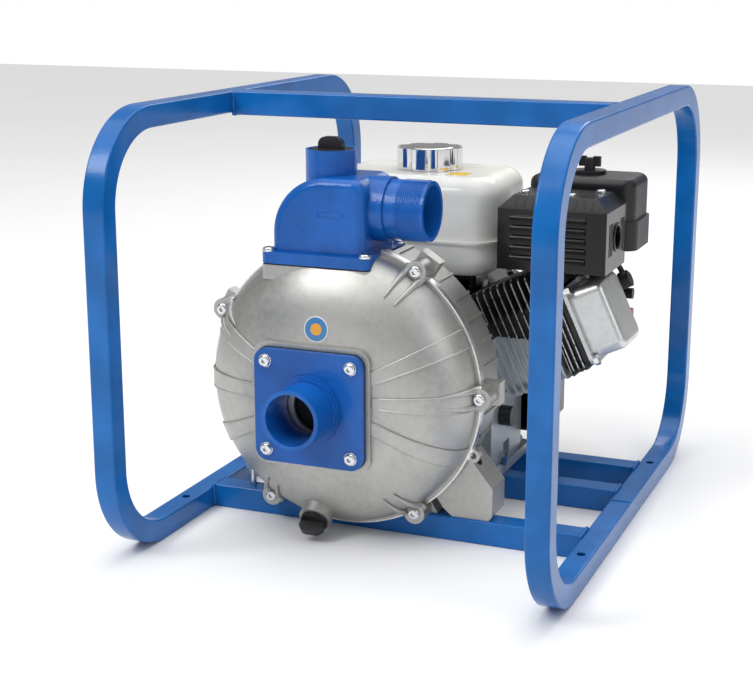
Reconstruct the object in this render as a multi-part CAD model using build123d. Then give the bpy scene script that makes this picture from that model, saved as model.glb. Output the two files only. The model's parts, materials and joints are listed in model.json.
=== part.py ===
from build123d import *
import os
from math import cos, radians, sin

# Gas engine trash pump in a tubular roll cage. Millimetres.
# X runs across the cage (positive to the right seen from the suction side), Y from the suction side to
# the recoil starter, Z up. The origin is the bottom centre of the cage.

os.makedirs("parts", exist_ok=True)

# --- roll cage ---
CAGE_WIDTH = 457.0
CAGE_DEPTH = 612.0
CAGE_HEIGHT = 445.0
HOOP_TUBE = 23.0
BAR_TUBE = 25.4
TUBE_WALL = 2.0
HOOP_BEND = 95.0
RAIL_HOLE_R = 4.5
RAIL_HOLE_X = 217.0
RAIL_HOLE_Y = 150.0
FRONT_BAR_Y = -96.3
MIDDLE_BAR_Y = 46.0
REAR_BAR_Y = 131.0
TOP_BAR_Y = -31.0
PUMP_FOOT_X = (86.0, -166.0)
PUMP_FOOT_Y = -92.0
FOOT_SEAT_Z = 44.0

# --- pump casing ---
CASING_X = -46.0
CASING_Z = 157.0
RIM_R = 149.0
DOME_R = 144.0
DOME_FLAT_R = 60.0
DOME_FRONT_Y = -172.0
DOME_START_Y = -118.0
RIM_PLANE_Y = -110.0
REAR_FLANGE_Y = -102.0
REAR_WALL_Y = -40.0
CASING_WALL = 5.0
BAND_HEIGHT = 1.6
BAND_ANGLES = (-25.0, 0.0, 25.0, 155.0, 180.0, 205.0)
LUG_ANGLES = (57.0, 1.0, -57.0, -122.0, 152.0)
LUG_R = 11.0
LUG_CENTRE_R = 150.0
BOSS_ANGLE = -23.0
NECK_FLOOR_Z = 262.0
SUMP_Z = 31.0
DRAIN_PLACE = Pos(-62, -140, 34.2) * Rot(125, 0, 0)
RIGHT_FOOT_X = (60.0, 112.0)
FOOT_BACK = 66.0
FOOT_DEPTH = 40.0
SQUARE = (-1, 1)
BADGE_AT = (-52.0, 226.5)

# --- suction side ---
SUCTION_X = -56.5
SUCTION_Z = 147.0
SUCTION_PAD = 127.0
SUCTION_PLATE = 117.0
PLATE_CORNER = 13.0
PAD_FACE_Y = -176.0
GASKET = 1.5
PLATE_FACE_Y = -184.0
SPIGOT_END_Y = -226.0
PIPE_R = 30.15
PIPE_BORE_R = 26.0
SUCTION_BOLT = 46.0
FLAP_R = 32.0
FLAP_PIVOT_Z = 183.0
FLAP_Y = (-166.2, -162.2)
FLAP_PIN_R = 2.0

# --- discharge side ---
FLANGE_X = (-123.0, -5.0)
FLANGE_Y = (-150.0, -46.0)
NECK_TOP_Z = 283.0
FLANGE_BOTTOM_Z = 284.5
FLANGE_TOP_Z = 296.0
HOUSING_X = (-115.0, -15.0)
HOUSING_Y = (-141.0, -55.0)
HOUSING_TOP_Z = 371.0
DISCHARGE_Y = -98.0
DISCHARGE_Z = 338.5
DISCHARGE_END_X = 42.0
FILL_X = -67.0
FILL_R = 26.0
FILL_TOP_Z = 396.0
FILL_BORE_R = 18.0
DRAIN_BORE_R = 10.1
FLANGE_BOLTS = ((-116.5, -143.5), (-11.5, -143.5), (-11.5, -52.5), (-116.5, -52.5))
VOLUTE_Y = (-118.0, -58.0)

# --- engine ---
CRANK_Z = 131.4
ENGINE_FACE_Y = -8.0
ENGINE_BACK_Y = 100.0
CYLINDER_Y = 46.0
CYLINDER_TILT = 25.0
FLANGE_S = 180.0
FIN_S = (84.0, 158.0)
FIN_COUNT = 10
MOUNT_X = (-99.0, 63.0)
MOUNT_Y = (46.0, 131.0)
TANK_X = (-140.0, 62.0)
TANK_Y = (25.0, 170.0)
TANK_Z = (246.0, 354.0)
TANK_SEAM_Z = 285.0
CAP_AT = (-34.0, 98.0)
CAP_R = 37.0
CAP_TOP_Z = 378.0
GUARD_X = (78.0, 194.0)
GUARD_Y = (0.0, 84.0)
GUARD_Z = (266.0, 343.0)
CLEANER_X = (82.0, 200.0)
CLEANER_Y = (92.0, 168.0)
CLEANER_Z = (308.0, 353.0)
CLEANER_BASE_Z = 276.0
FAN_R = 104.0
FAN_BACK_Y = 188.0
RECOIL_R = 82.0
RECOIL_BACK_Y = 228.0
RUNNING_GAP = 0.05
SHAFT_R = 9.5
BASE_TOP = BAR_TUBE + 11
CASE_X = (-78.0, 78.0)
CASE_TOP = 206.0
BORE_R = 34.0
HEAD_Y = (4.2, 90.0)
FIN_Y = (4.2, 92.0)
FIN_TOP_T = 72.0
POCKET_TOP = 64.0
EXHAUST = (168.0, 42.0, 66.2)
COVER_BOLTS = [(y, t) for y in (11.0, 83.0) for t in (-39.5, 39.5)]
RECOIL_EAR_R = 88.0
RECOIL_EAR_ANGLES = (45, 135, 225, 315)
PLUG_Y = 98.0
PLUG_T = 20.0
COVER_S = (FLANGE_S + 0.5, FLANGE_S + 42)
STUD_AT = (141.0, 130.0)
GUARD_SCREWS = [(98.0, 30.0), (150.0, 22.0), (172.0, 60.0)]
CAM_X = -21.2
CAM_Z = 94.8
FAN_FLOOR_Z = 44.0
LEAD_R = 3.0
HOSE_R = 3.5


def block(x, y, z, radius=0.0, edges="Z"):
    """Box from three (low, high) pairs; radius rounds the edges along one axis, or all of them."""
    solid = Pos((x[0] + x[1]) / 2, (y[0] + y[1]) / 2, (z[0] + z[1]) / 2) * Box(
        x[1] - x[0], y[1] - y[0], z[1] - z[0])
    if not radius:
        return solid
    chosen = solid.edges() if edges == "all" else solid.edges().filter_by(getattr(Axis, edges))
    return fillet(chosen, radius)


def rod_x(r, x, y, z):
    """Cylinder along X between the two values of x."""
    return Pos((x[0] + x[1]) / 2, y, z) * Rot(0, 90, 0) * Cylinder(r, x[1] - x[0])


def rod_y(r, y, x, z):
    """Cylinder along Y between the two values of y."""
    return Pos(x, (y[0] + y[1]) / 2, z) * Rot(90, 0, 0) * Cylinder(r, y[1] - y[0])


def rod_z(r, z, x, y):
    """Cylinder along Z between the two values of z."""
    return Pos(x, y, (z[0] + z[1]) / 2) * Cylinder(r, z[1] - z[0])


def head_place(s, y, t):
    """Point on the tilted cylinder: s along its axis from the crank, t upward across it."""
    tilt = radians(CYLINDER_TILT)
    return (s * cos(tilt) - t * sin(tilt), y, CRANK_Z + s * sin(tilt) + t * cos(tilt))


def tilted(solid):
    """Turn a solid drawn with s along X and t along Z about the crank into the cylinder's direction."""
    return Pos(0, 0, CRANK_Z) * Rot(0, -CYLINDER_TILT, 0) * solid


def hex_bolt(head_r, head_h, shank_r, length):
    """Hexagon bolt, head upward from Z = 0, shank downward."""
    head = extrude(RegularPolygon(head_r, 6), head_h)
    return head + rod_z(shank_r, (-length, 0), 0, 0)


def button_bolt(head_r, head_h, shank_r, length):
    """Domed socket screw, head upward from Z = 0, shank downward."""
    head = fillet(rod_z(head_r, (0, head_h), 0, 0).edges().group_by(Axis.Z)[-1], head_h * 0.6)
    socket = extrude(Pos(0, 0, head_h * 0.45) * RegularPolygon(head_r * 0.45, 6), head_h)
    return head - socket + rod_z(shank_r, (-length, 0), 0, 0)


def group(solids):
    """Separate solids kept in one node."""
    return Compound(children=list(solids))


NODES = {}


def keep(name, shape):
    """Store one node."""
    NODES[name] = shape


# ---------------------------------------------------------------- roll cage
def hoop(side):
    """Closed loop of square tube standing along Y, with two mounting holes in its bottom rail."""
    inner = side * (CAGE_WIDTH / 2 - HOOP_TUBE)
    outer = side * CAGE_WIDTH / 2
    low, high = min(inner, outer), max(inner, outer)

    def loop(inset, x0, x1):
        face = RectangleRounded(CAGE_DEPTH - 2 * inset, CAGE_HEIGHT - 2 * inset, HOOP_BEND - inset)
        return extrude(Plane.YZ.offset(x0) * Pos(0, CAGE_HEIGHT / 2) * face, x1 - x0)

    skin = loop(0, low, high) - loop(HOOP_TUBE, low - 1, high + 1)
    skin = fillet(skin.edges(), 2.0)
    hollow = loop(TUBE_WALL, low + TUBE_WALL, high - TUBE_WALL)
    hollow -= loop(HOOP_TUBE - TUBE_WALL, low, high)
    tube = skin - hollow
    for y in (-RAIL_HOLE_Y, RAIL_HOLE_Y):
        tube -= rod_z(RAIL_HOLE_R, (-1, HOOP_TUBE + 1), side * RAIL_HOLE_X, y)
    return tube


def cross_bar(y, z, holes=()):
    """Straight square tube welded between the hoops; z is its centre height."""
    half = CAGE_WIDTH / 2 - HOOP_TUBE
    span = (-half, half)
    reach = BAR_TUBE / 2
    bar = block(span, (y - reach, y + reach), (z - reach, z + reach), 2.0, "X")
    reach -= TUBE_WALL
    bar -= block((-half - 1, half + 1), (y - reach, y + reach), (z - reach, z + reach))
    for x, hole_y in holes:
        bar -= rod_z(4.4, (-1, BAR_TUBE + 1), x, hole_y)
    return bar


def make_cage():
    keep("left_hoop", hoop(-1))
    keep("right_hoop", hoop(1))
    floor_z = BAR_TUBE / 2
    keep("front_cross_bar", cross_bar(FRONT_BAR_Y, floor_z, [(x, PUMP_FOOT_Y) for x in PUMP_FOOT_X]))
    keep("middle_cross_bar", cross_bar(MIDDLE_BAR_Y, floor_z, [(x, MOUNT_Y[0]) for x in MOUNT_X]))
    keep("rear_cross_bar", cross_bar(REAR_BAR_Y, floor_z, [(x, MOUNT_Y[1]) for x in MOUNT_X]))
    keep("top_bar", cross_bar(TOP_BAR_Y, CAGE_HEIGHT - BAR_TUBE / 2))


make_cage()


# ---------------------------------------------------------------- pump casing
def casing_turn(profile):
    """Turn a closed profile drawn with radius along X and depth along Y about the casing's axis."""
    return Pos(CASING_X, 0, CASING_Z) * revolve(profile, Axis.Y)


def dome(grow, back_y=RIM_PLANE_Y):
    """Solid dome from its flat front to back_y, with every surface moved out by grow."""
    front = DOME_FRONT_Y - grow
    side = DOME_R + grow
    shoulder = Line((DOME_FLAT_R, front), (0, front))
    curve = EllipticalCenterArc((DOME_FLAT_R, DOME_START_Y), side - DOME_FLAT_R, DOME_START_Y - front,
                                start_angle=270, arc_size=90)
    wall = Line((side, DOME_START_Y), (side, back_y))
    back = Line((side, back_y), (0, back_y))
    axis_line = Line((0, back_y), (0, front))
    return casing_turn(make_face([shoulder, curve, wall, back, axis_line]))


def ring(r_in, r_out, y):
    """Flat ring about the casing's axis."""
    return rod_y(r_out, y, CASING_X, CASING_Z) - rod_y(r_in, (y[0] - 1, y[1] + 1), CASING_X, CASING_Z)


def around(radius, angle):
    """Point on a circle about the casing's axis, angle in degrees from +X towards +Z."""
    return (CASING_X + radius * cos(radians(angle)), CASING_Z + radius * sin(radians(angle)))


def radial_band(angle):
    """Tapered prism that marks out one raised band from the suction pad to the rim."""
    outline = Polygon((55, -5.5), (RIM_R, -10), (RIM_R, 10), (55, 5.5), align=None)
    prism = extrude(outline, 70)
    return Pos(CASING_X, RIM_PLANE_Y, CASING_Z) * Rot(0, -angle, 0) * Rot(90, 0, 0) * prism


def front_casing():
    body = dome(0)
    raised = dome(BAND_HEIGHT)
    for angle in BAND_ANGLES:
        body += raised & radial_band(angle)
    body += ring(DOME_R - 2, RIM_R, (DOME_START_Y, RIM_PLANE_Y))
    for angle in LUG_ANGLES:
        x, z = around(LUG_CENTRE_R, angle)
        body += rod_y(LUG_R, (DOME_START_Y - 10, RIM_PLANE_Y), x, z)
    x, z = around(RIM_R + 4, BOSS_ANGLE)
    body += rod_y(7, (DOME_START_Y, RIM_PLANE_Y), x, z)
    half = SUCTION_PAD / 2
    pad = block((SUCTION_X - half, SUCTION_X + half), (PAD_FACE_Y, -140), (SUCTION_Z - half, SUCTION_Z + half),
                15.0, "Y")
    body += pad
    body += block((FLANGE_X[0] + 6, FLANGE_X[1] - 6), (FLANGE_Y[0] + 4, FLANGE_Y[1] - 4), (220, 269), 8.0)
    body += block(FLANGE_X, FLANGE_Y, (268, NECK_TOP_Z), 7.0)
    body += DRAIN_PLACE * Cylinder(17, 44)
    below_neck = block((-250, 150), (-200, 0), (-20, NECK_FLOOR_Z))
    body -= dome(-CASING_WALL, 0) & below_neck
    body -= rod_y(RIM_R + 12, (RIM_PLANE_Y, 0), CASING_X, CASING_Z) & below_neck
    body += dome(-CASING_WALL + 0.5) & block((-250, 150), (RIM_PLANE_Y - 5, RIM_PLANE_Y), (0, SUMP_Z))
    body -= block((FLANGE_X[0] + 18, FLANGE_X[1] - 18), (FLANGE_Y[0] + 16, FLANGE_Y[1] - 16), (200, 300), 8.0)
    body -= block((FLANGE_X[0], FLANGE_X[1]), (-200, 0), (NECK_TOP_Z, 330))
    body -= rod_y(27.0, (-190, -150), SUCTION_X, SUCTION_Z)
    body -= DRAIN_PLACE * Cylinder(DRAIN_BORE_R, 60)
    for angle in LUG_ANGLES:
        x, z = around(LUG_CENTRE_R, angle)
        body -= rod_y(3.3, (-140, RIM_PLANE_Y + 1), x, z)
    x, z = around(RIM_R + 4, BOSS_ANGLE)
    body -= rod_y(3.3, (-140, RIM_PLANE_Y + 1), x, z)
    for sx in SQUARE:
        for sz in SQUARE:
            body -= rod_y(3.3, (-180, -166), SUCTION_X + sx * SUCTION_BOLT, SUCTION_Z + sz * SUCTION_BOLT)
    for x, y in FLANGE_BOLTS:
        body -= rod_z(3.3, (270, 290), x, y)
    return body.solids().sort_by(SortBy.VOLUME)[-1]


def foot(x):
    """Cast foot on the right of the casing, standing on the front cross bar."""
    outline = Polygon((x[0], 33), (x[0] + 9, BAR_TUBE), (x[1] - 4, BAR_TUBE), (x[1], BAR_TUBE + 5),
                      (x[1], 60), (x[1] - 26, 92), (x[0] - 20, 92), (x[0] - 20, 60), align=None)
    return extrude(Plane.XZ.offset(FOOT_BACK) * outline, FOOT_DEPTH)


def rear_casing():
    body = ring(120, RIM_R - 1, (RIM_PLANE_Y, REAR_FLANGE_Y))
    shell_profile = [Line((DOME_R, RIM_PLANE_Y), (DOME_R, -52)), Line((DOME_R, -52), (DOME_R - 12, REAR_WALL_Y)),
                     Line((DOME_R - 12, REAR_WALL_Y), (0, REAR_WALL_Y)),
                     Line((0, REAR_WALL_Y), (0, REAR_WALL_Y - 7)),
                     Line((0, REAR_WALL_Y - 7), (DOME_R - 15, REAR_WALL_Y - 7)),
                     Line((DOME_R - 15, REAR_WALL_Y - 7), (DOME_R - 6, -56)),
                     Line((DOME_R - 6, -56), (DOME_R - 6, RIM_PLANE_Y)),
                     Line((DOME_R - 6, RIM_PLANE_Y), (DOME_R, RIM_PLANE_Y))]
    body += casing_turn(make_face(shell_profile))
    for k in range(36):
        x, z = around(DOME_R - 1, k * 10)
        rib = Pos(x, -74, z) * Rot(0, -k * 10, 0) * Box(6, 44, 3)
        body += rib
    for angle in LUG_ANGLES:
        x, z = around(LUG_CENTRE_R, angle)
        body += rod_y(LUG_R, (RIM_PLANE_Y, RIM_PLANE_Y + 22), x, z)
        x, z = around(LUG_CENTRE_R + 1, angle)
        body += Pos(x, RIM_PLANE_Y + 14, z) * Rot(0, -angle, 0) * Box(24, 16, 23)
    body += rod_y(DOME_R - 3, (RIM_PLANE_Y, REAR_WALL_Y - 2), CASING_X, CASING_Z) & block(
        (-250, 150), (RIM_PLANE_Y, 0), (-20, SUMP_Z))
    body += foot(RIGHT_FOOT_X)
    left = extrude(Plane.XZ.offset(FOOT_BACK) * Polygon((-140, 34), (-148, BAR_TUBE), (-184, BAR_TUBE), (-188, 30),
                                                 (-188, 60), (-160, 95), (-118, 95), (-118, 60), align=None), FOOT_DEPTH)
    body += left
    body -= rod_y(DOME_R - 6.2, (RIM_PLANE_Y - 5, -56), CASING_X, CASING_Z) & block(
        (-250, 150), (-200, 0), (SUMP_Z, 400))
    body += rod_y(46, (REAR_WALL_Y - 10, REAR_WALL_Y + 4), 0, CRANK_Z)
    for k in range(4):
        x = 62 * cos(radians(45 + 90 * k))
        z = CRANK_Z + 62 * sin(radians(45 + 90 * k))
        body += rod_y(12, (REAR_WALL_Y - 2, ENGINE_FACE_Y), x, z)
        body -= rod_y(4.2, (REAR_WALL_Y - 20, ENGINE_FACE_Y + 1), x, z)
    body += rod_y(80, (ENGINE_FACE_Y - 8, ENGINE_FACE_Y), 0, CRANK_Z) - rod_y(
        52, (ENGINE_FACE_Y - 9, ENGINE_FACE_Y + 1), 0, CRANK_Z)
    for k in range(4):
        x = 62 * cos(radians(45 + 90 * k))
        z = CRANK_Z + 62 * sin(radians(45 + 90 * k))
        body -= rod_y(4.2, (REAR_WALL_Y - 20, ENGINE_FACE_Y + 1), x, z)
    body -= rod_y(18, (REAR_WALL_Y - 20, REAR_WALL_Y + 10), 0, CRANK_Z)
    body -= block((FLANGE_X[0] - 2, FLANGE_X[1] + 2), (RIM_PLANE_Y - 1, 0), (NECK_FLOOR_Z, 330))
    body -= block((-250, 150), (RIM_PLANE_Y - 1, 0), (-20, BAR_TUBE))
    for x in PUMP_FOOT_X:
        body -= rod_z(4.5, (BAR_TUBE - 1, 66), x, PUMP_FOOT_Y)
        body -= rod_z(9.5, (FOOT_SEAT_Z, 120), x, PUMP_FOOT_Y)
    for angle in LUG_ANGLES:
        x, z = around(LUG_CENTRE_R, angle)
        body -= rod_y(3.3, (RIM_PLANE_Y - 1, RIM_PLANE_Y + 40), x, z)
    return body.solids().sort_by(SortBy.VOLUME)[-1]


def make_casing():
    keep("front_casing", front_casing())
    keep("rear_casing", rear_casing())


make_casing()


# ---------------------------------------------------------------- pump fittings and inner parts
def suction_flange():
    half = SUCTION_PLATE / 2
    x = (SUCTION_X - half, SUCTION_X + half)
    z = (SUCTION_Z - half, SUCTION_Z + half)
    body = block(x, (PLATE_FACE_Y, PAD_FACE_Y - GASKET), z, PLATE_CORNER, "Y")
    body += rod_y(35.5, (-188.5, -180), SUCTION_X, SUCTION_Z)
    body += rod_y(33.5, (-191.5, -180), SUCTION_X, SUCTION_Z)
    body += rod_y(PIPE_R, (SPIGOT_END_Y, -180), SUCTION_X, SUCTION_Z)
    body -= rod_y(PIPE_BORE_R, (-230, -170), SUCTION_X, SUCTION_Z)
    return body - suction_holes((-190, -170), 3.3)


def suction_holes(y, r):
    """Four holes or shanks through the suction plate."""
    places = [(SUCTION_X + sx * SUCTION_BOLT, SUCTION_Z + sz * SUCTION_BOLT) for sx in SQUARE for sz in SQUARE]
    return [rod_y(r, y, x, z) for x, z in places]


def turned_bolts(places, y, head_r, head_h, shank_r, length, maker):
    """Bolts whose heads face -Y at depth y."""
    return group([Pos(x, y, z) * Rot(90, 0, 0) * maker(head_r, head_h, shank_r, length) for x, z in places])


def discharge_housing():
    width = HOUSING_X[1] - HOUSING_X[0]
    height = HOUSING_TOP_Z - FLANGE_TOP_Z + 4
    side_view = Rectangle(width, height)
    side_view = fillet(side_view.vertices().group_by(Axis.Y)[-1].sort_by(Axis.X)[0], 58.0)
    side_view = fillet(side_view.vertices().group_by(Axis.Y)[-1].sort_by(Axis.X)[-1], 14.0)
    centre = Pos((HOUSING_X[0] + HOUSING_X[1]) / 2, HOUSING_TOP_Z - height / 2)
    body = extrude(Plane.XZ.offset(-HOUSING_Y[1]) * centre * side_view, HOUSING_Y[1] - HOUSING_Y[0])
    rims = body.edges().group_by(Axis.Y)[0] + body.edges().group_by(Axis.Y)[-1]
    body = fillet(rims.filter_by(lambda edge: edge.center().Z > FLANGE_TOP_Z), 9.0)
    body += block(FLANGE_X, FLANGE_Y, (FLANGE_BOTTOM_Z, FLANGE_TOP_Z), 7.0)
    body += rod_z(FILL_R, (340, FILL_TOP_Z), FILL_X, DISCHARGE_Y)
    body += rod_x(PIPE_R + 2.5, (-40, 0), DISCHARGE_Y, DISCHARGE_Z)
    body += rod_x(PIPE_R, (-30, DISCHARGE_END_X), DISCHARGE_Y, DISCHARGE_Z)
    body -= block((HOUSING_X[0] + 10, HOUSING_X[1] - 10), (HOUSING_Y[0] + 9, HOUSING_Y[1] - 9), (280, 330), 8.0)
    body -= rod_x(30, (HOUSING_X[0] + 36, HOUSING_X[1] - 14), DISCHARGE_Y, 332)
    body -= rod_x(PIPE_BORE_R, (-60, 60), DISCHARGE_Y, DISCHARGE_Z)
    body -= rod_z(FILL_BORE_R, (330, 400), FILL_X, DISCHARGE_Y)
    body -= rod_z(23.0, (FILL_TOP_Z - 5, 400), FILL_X, DISCHARGE_Y)
    for x, y in FLANGE_BOLTS:
        body -= rod_z(3.3, (280, 300), x, y)
    return body.solids().sort_by(SortBy.VOLUME)[-1]


def winged_plug(thread_r, thread_length):
    """Moulded plug: collar at Z = 0, wing above it, threaded plug below it."""
    body = rod_z(thread_r + 3.5, (0, 5), 0, 0) + rod_z(thread_r, (-thread_length, 0.5), 0, 0)
    wing = block((-13, 13), (-4, 4), (4, 17), 0)
    wing = fillet(wing.edges().filter_by(Axis.Y).group_by(Axis.Z)[-1], 8.0)
    return body + wing


def flap_disc():
    disc = rod_y(FLAP_R, FLAP_Y, SUCTION_X, SUCTION_Z)
    tongue = block((SUCTION_X - 16, SUCTION_X + 16), FLAP_Y, (SUCTION_Z + 18, FLAP_PIVOT_Z))
    pin = rod_x(FLAP_PIN_R, (SUCTION_X - 16, SUCTION_X + 16), (FLAP_Y[0] + FLAP_Y[1]) / 2, FLAP_PIVOT_Z)
    return disc + tongue + pin


def impeller():
    body = rod_y(60, (-70, -66), 0, CRANK_Z) + rod_y(16, (-92, -66), 0, CRANK_Z)
    for k in range(3):
        vane = Pos(34, -82, 0) * Rot(0, 28, 0) * Box(48, 24, 5)
        body += Pos(0, 0, CRANK_Z) * Rot(0, 120 * k, 0) * vane
    return body - rod_y(SHAFT_R, (-93, -65), 0, CRANK_Z)


def volute():
    body = rod_y(78, (VOLUTE_Y[0] + 12, VOLUTE_Y[1]), 0, CRANK_Z)
    body -= rod_y(71, (VOLUTE_Y[0] + 17, VOLUTE_Y[1] + 1), 0, CRANK_Z)
    body -= rod_y(30, (-130, -90), 0, CRANK_Z)
    return body - block((-46, -14), (-98, -62), (CRANK_Z + 50, CRANK_Z + 90))


def tubular(r_in, r_out, y):
    """Sleeve about the crank axis."""
    return rod_y(r_out, y, 0, CRANK_Z) - rod_y(r_in, (y[0] - 1, y[1] + 1), 0, CRANK_Z)


def make_fittings():
    half = SUCTION_PLATE / 2
    keep("suction_flange", suction_flange())
    gasket = block((SUCTION_X - half - 0.5, SUCTION_X + half + 0.5), (PAD_FACE_Y - GASKET, PAD_FACE_Y),
                   (SUCTION_Z - half - 0.5, SUCTION_Z + half + 0.5), PLATE_CORNER, "Y")
    keep("suction_gasket", gasket - rod_y(28, (-190, -170), SUCTION_X, SUCTION_Z) - suction_holes((-190, -170), 3.3))
    places = [(SUCTION_X + sx * SUCTION_BOLT, SUCTION_Z + sz * SUCTION_BOLT) for sx in SQUARE for sz in SQUARE]
    plate_bolts = turned_bolts(places, PLATE_FACE_Y, 6.2, 4.0, 3.2, 17, button_bolt)
    keep("suction_flap", flap_disc())
    keep("flap_weight", rod_y(17, (FLAP_Y[1], FLAP_Y[1] + 5), SUCTION_X, SUCTION_Z))
    keep("discharge_housing", discharge_housing())
    gasket = block((FLANGE_X[0] + 1, FLANGE_X[1] - 1), (FLANGE_Y[0] + 1, FLANGE_Y[1] - 1),
                   (NECK_TOP_Z, FLANGE_BOTTOM_Z), 7.0)
    gasket -= block((FLANGE_X[0] + 18, FLANGE_X[1] - 18), (FLANGE_Y[0] + 16, FLANGE_Y[1] - 16), (280, 290), 8.0)
    for x, y in FLANGE_BOLTS:
        gasket -= rod_z(3.3, (280, 290), x, y)
    keep("discharge_gasket", gasket)
    neck_bolts = [Pos(x, y, FLANGE_TOP_Z) * button_bolt(6.2, 4.0, 3.2, 24) for x, y in FLANGE_BOLTS]
    keep("flange_bolts", group(plate_bolts.solids() + neck_bolts))
    keep("fill_plug", Pos(FILL_X, DISCHARGE_Y, FILL_TOP_Z - 5) * winged_plug(FILL_BORE_R - RUNNING_GAP, 22))
    drain_plug = DRAIN_PLACE * Pos(0, 0, 22) * winged_plug(DRAIN_BORE_R - RUNNING_GAP, 20)
    keep("drain_plug", drain_plug)
    lugs = [around(LUG_CENTRE_R, angle) for angle in LUG_ANGLES]
    keep("casing_bolts", turned_bolts(lugs, DOME_START_Y - 10, 6.2, 4.0, 3.2, 36, button_bolt))
    keep("impeller", impeller())
    keep("volute_insert", volute())
    keep("seal_rotating_ring", tubular(SHAFT_R, 15, (-64, -56)))
    keep("seal_fixed_ring", tubular(SHAFT_R + 0.6, 18, (-55.6, -49)))
    adapter = [(62 * cos(radians(45 + 90 * k)), CRANK_Z + 62 * sin(radians(45 + 90 * k))) for k in range(4)]
    keep("adapter_bolts", turned_bolts(adapter, REAR_WALL_Y - 7, 7.0, 5.0, 4.1, 56, hex_bolt))
    badge_zone = rod_y(13, (-190, -150), BADGE_AT[0], BADGE_AT[1])
    keep("maker_badge", (dome(0.6) - dome(0)) & badge_zone)


make_fittings()


# ---------------------------------------------------------------- engine
def s_block(s, y, t, radius=0.0, edges="Z"):
    """Box in the tilted cylinder's directions: s along it, y across, t upward across it."""
    return tilted(block(s, y, t, radius, edges))


def crankcase():
    body = block((-112, 77), (36, 141), (BAR_TUBE, BASE_TOP), 8.0)
    body += block(CASE_X, (4, ENGINE_BACK_Y), (BAR_TUBE + 6, CASE_TOP), 18.0, "Y")
    body += s_block((40, FIN_S[1]), (8, 84), (-40, 40), 10.0, "X")
    pitch = (FIN_S[1] - FIN_S[0]) / (FIN_COUNT - 1)
    for k in range(FIN_COUNT):
        s = FIN_S[0] + pitch * k
        body += s_block((s - 1.2, s + 1.2 if k < FIN_COUNT - 1 else s), FIN_Y, (-48, FIN_TOP_T), 8.0, "X")
    body -= block((-66, 66), (0, ENGINE_BACK_Y - 8), (POCKET_TOP + 5, 188), 8.0, "Y")
    body -= block((-66, 44), (0, ENGINE_BACK_Y - 8), (BASE_TOP + 4, POCKET_TOP + 20), 8.0, "Y")
    body -= block((52, 90), (MOUNT_Y[0] - 11, MOUNT_Y[0] + 11), (BASE_TOP, POCKET_TOP))
    body -= tilted(rod_x(BORE_R, (30, 200), CYLINDER_Y, 0))
    body -= rod_y(12, (60, 120), 0, CRANK_Z)
    body -= rod_x(8.1, (60, 90), 24, 99)
    for x in MOUNT_X:
        for y in MOUNT_Y:
            body -= rod_z(4.4, (20, 45), x, y)
    body -= block((-120, -79), (30, 150), (BASE_TOP, 60))
    return body.solids().sort_by(SortBy.VOLUME)[-1]


def crankcase_cover():
    body = block(CASE_X, (ENGINE_FACE_Y, 3.8), (BAR_TUBE + 12, CASE_TOP), 18.0, "Y")
    body -= rod_y(12, (-20, 20), 0, CRANK_Z)
    for k in range(4):
        angle = radians(45 + 90 * k)
        body -= rod_y(4.2, (-20, 5), 62 * cos(angle), CRANK_Z + 62 * sin(angle))
    return body


def cylinder_head():
    body = s_block((158.2, FLANGE_S), (8, 84), (-42, 42), 8.0, "X")
    for s in (161.0, 167.0, 173.0):
        body += s_block((s - 1.2, s + 1.2), HEAD_Y, (-46, 62), 8.0, "X")
    body += s_block((FLANGE_S - 5, FLANGE_S), (6, 88), (-44, 44), 10.0, "X")
    body += s_block((159, 178), (84, 108), (8, 32), 4.0, "X")
    body += s_block((160, 178), (84, 109.5), (-28, 2), 4.0, "X")
    body -= tilted(rod_x(6.1, (158, 190), PLUG_Y, PLUG_T))
    body -= tilted(rod_y(11, (60, 112), 169, -13))
    body += s_block((EXHAUST[0] - 8, EXHAUST[0] + 8), (26, 58), (40, EXHAUST[2] - 0.2), 4.0, "X")
    for y, t in COVER_BOLTS:
        body -= tilted(rod_x(2.45, (168, 190), y, t))
    return body.solids().sort_by(SortBy.VOLUME)[-1]


def rocker_cover():
    body = s_block(COVER_S, (12, 82), (-39, 39), 12.0, "X")
    body = fillet(body.edges().filter_by(lambda e: abs((e.center() - Vector(0, 0, CRANK_Z)).dot(
        Vector(cos(radians(CYLINDER_TILT)), 0, sin(radians(CYLINDER_TILT)))) - COVER_S[1]) < 0.1), 7.0)
    body += s_block((COVER_S[0], COVER_S[0] + 4), (6, 88), (-44, 44), 10.0, "X")
    for y, t in COVER_BOLTS:
        body -= tilted(rod_x(2.45, (170, 190), y, t))
    return body - s_block((COVER_S[0] - 1, COVER_S[1] - 4), (15, 79), (-36, 36), 9.0, "X")


def engine_cover_screws():
    """The small flanged screws of the rocker cover, the starter cover and the muffler guard."""
    screw = hex_bolt(5.6, 5, 2.4, 12)
    turn = Rot(0, 90 - CYLINDER_TILT, 0)
    out = [Pos(*head_place(COVER_S[0] + 4, y, t)) * turn * screw for y, t in COVER_BOLTS]
    for angle in RECOIL_EAR_ANGLES:
        x, z = recoil_ear(angle)
        out.append(Pos(x, FAN_BACK_Y + 5, z) * Rot(-90, 0, 0) * hex_bolt(4.8, 4, 2.4, 5))
    out += [Pos(x, y, GUARD_Z[1]) * button_bolt(5, 3.2, 2.4, 2.5) for x, y in GUARD_SCREWS]
    return group(out)


def muffler():
    body = block((90, 182), (16, 70), (275, 328), 14.0, "X")
    body += rod_x(9, (180, 190), 44, 300) - rod_x(7, (181, 191), 44, 300)
    return body + tilted(rod_z(7.8, (EXHAUST[2], 90), EXHAUST[0], EXHAUST[1]))


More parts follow.
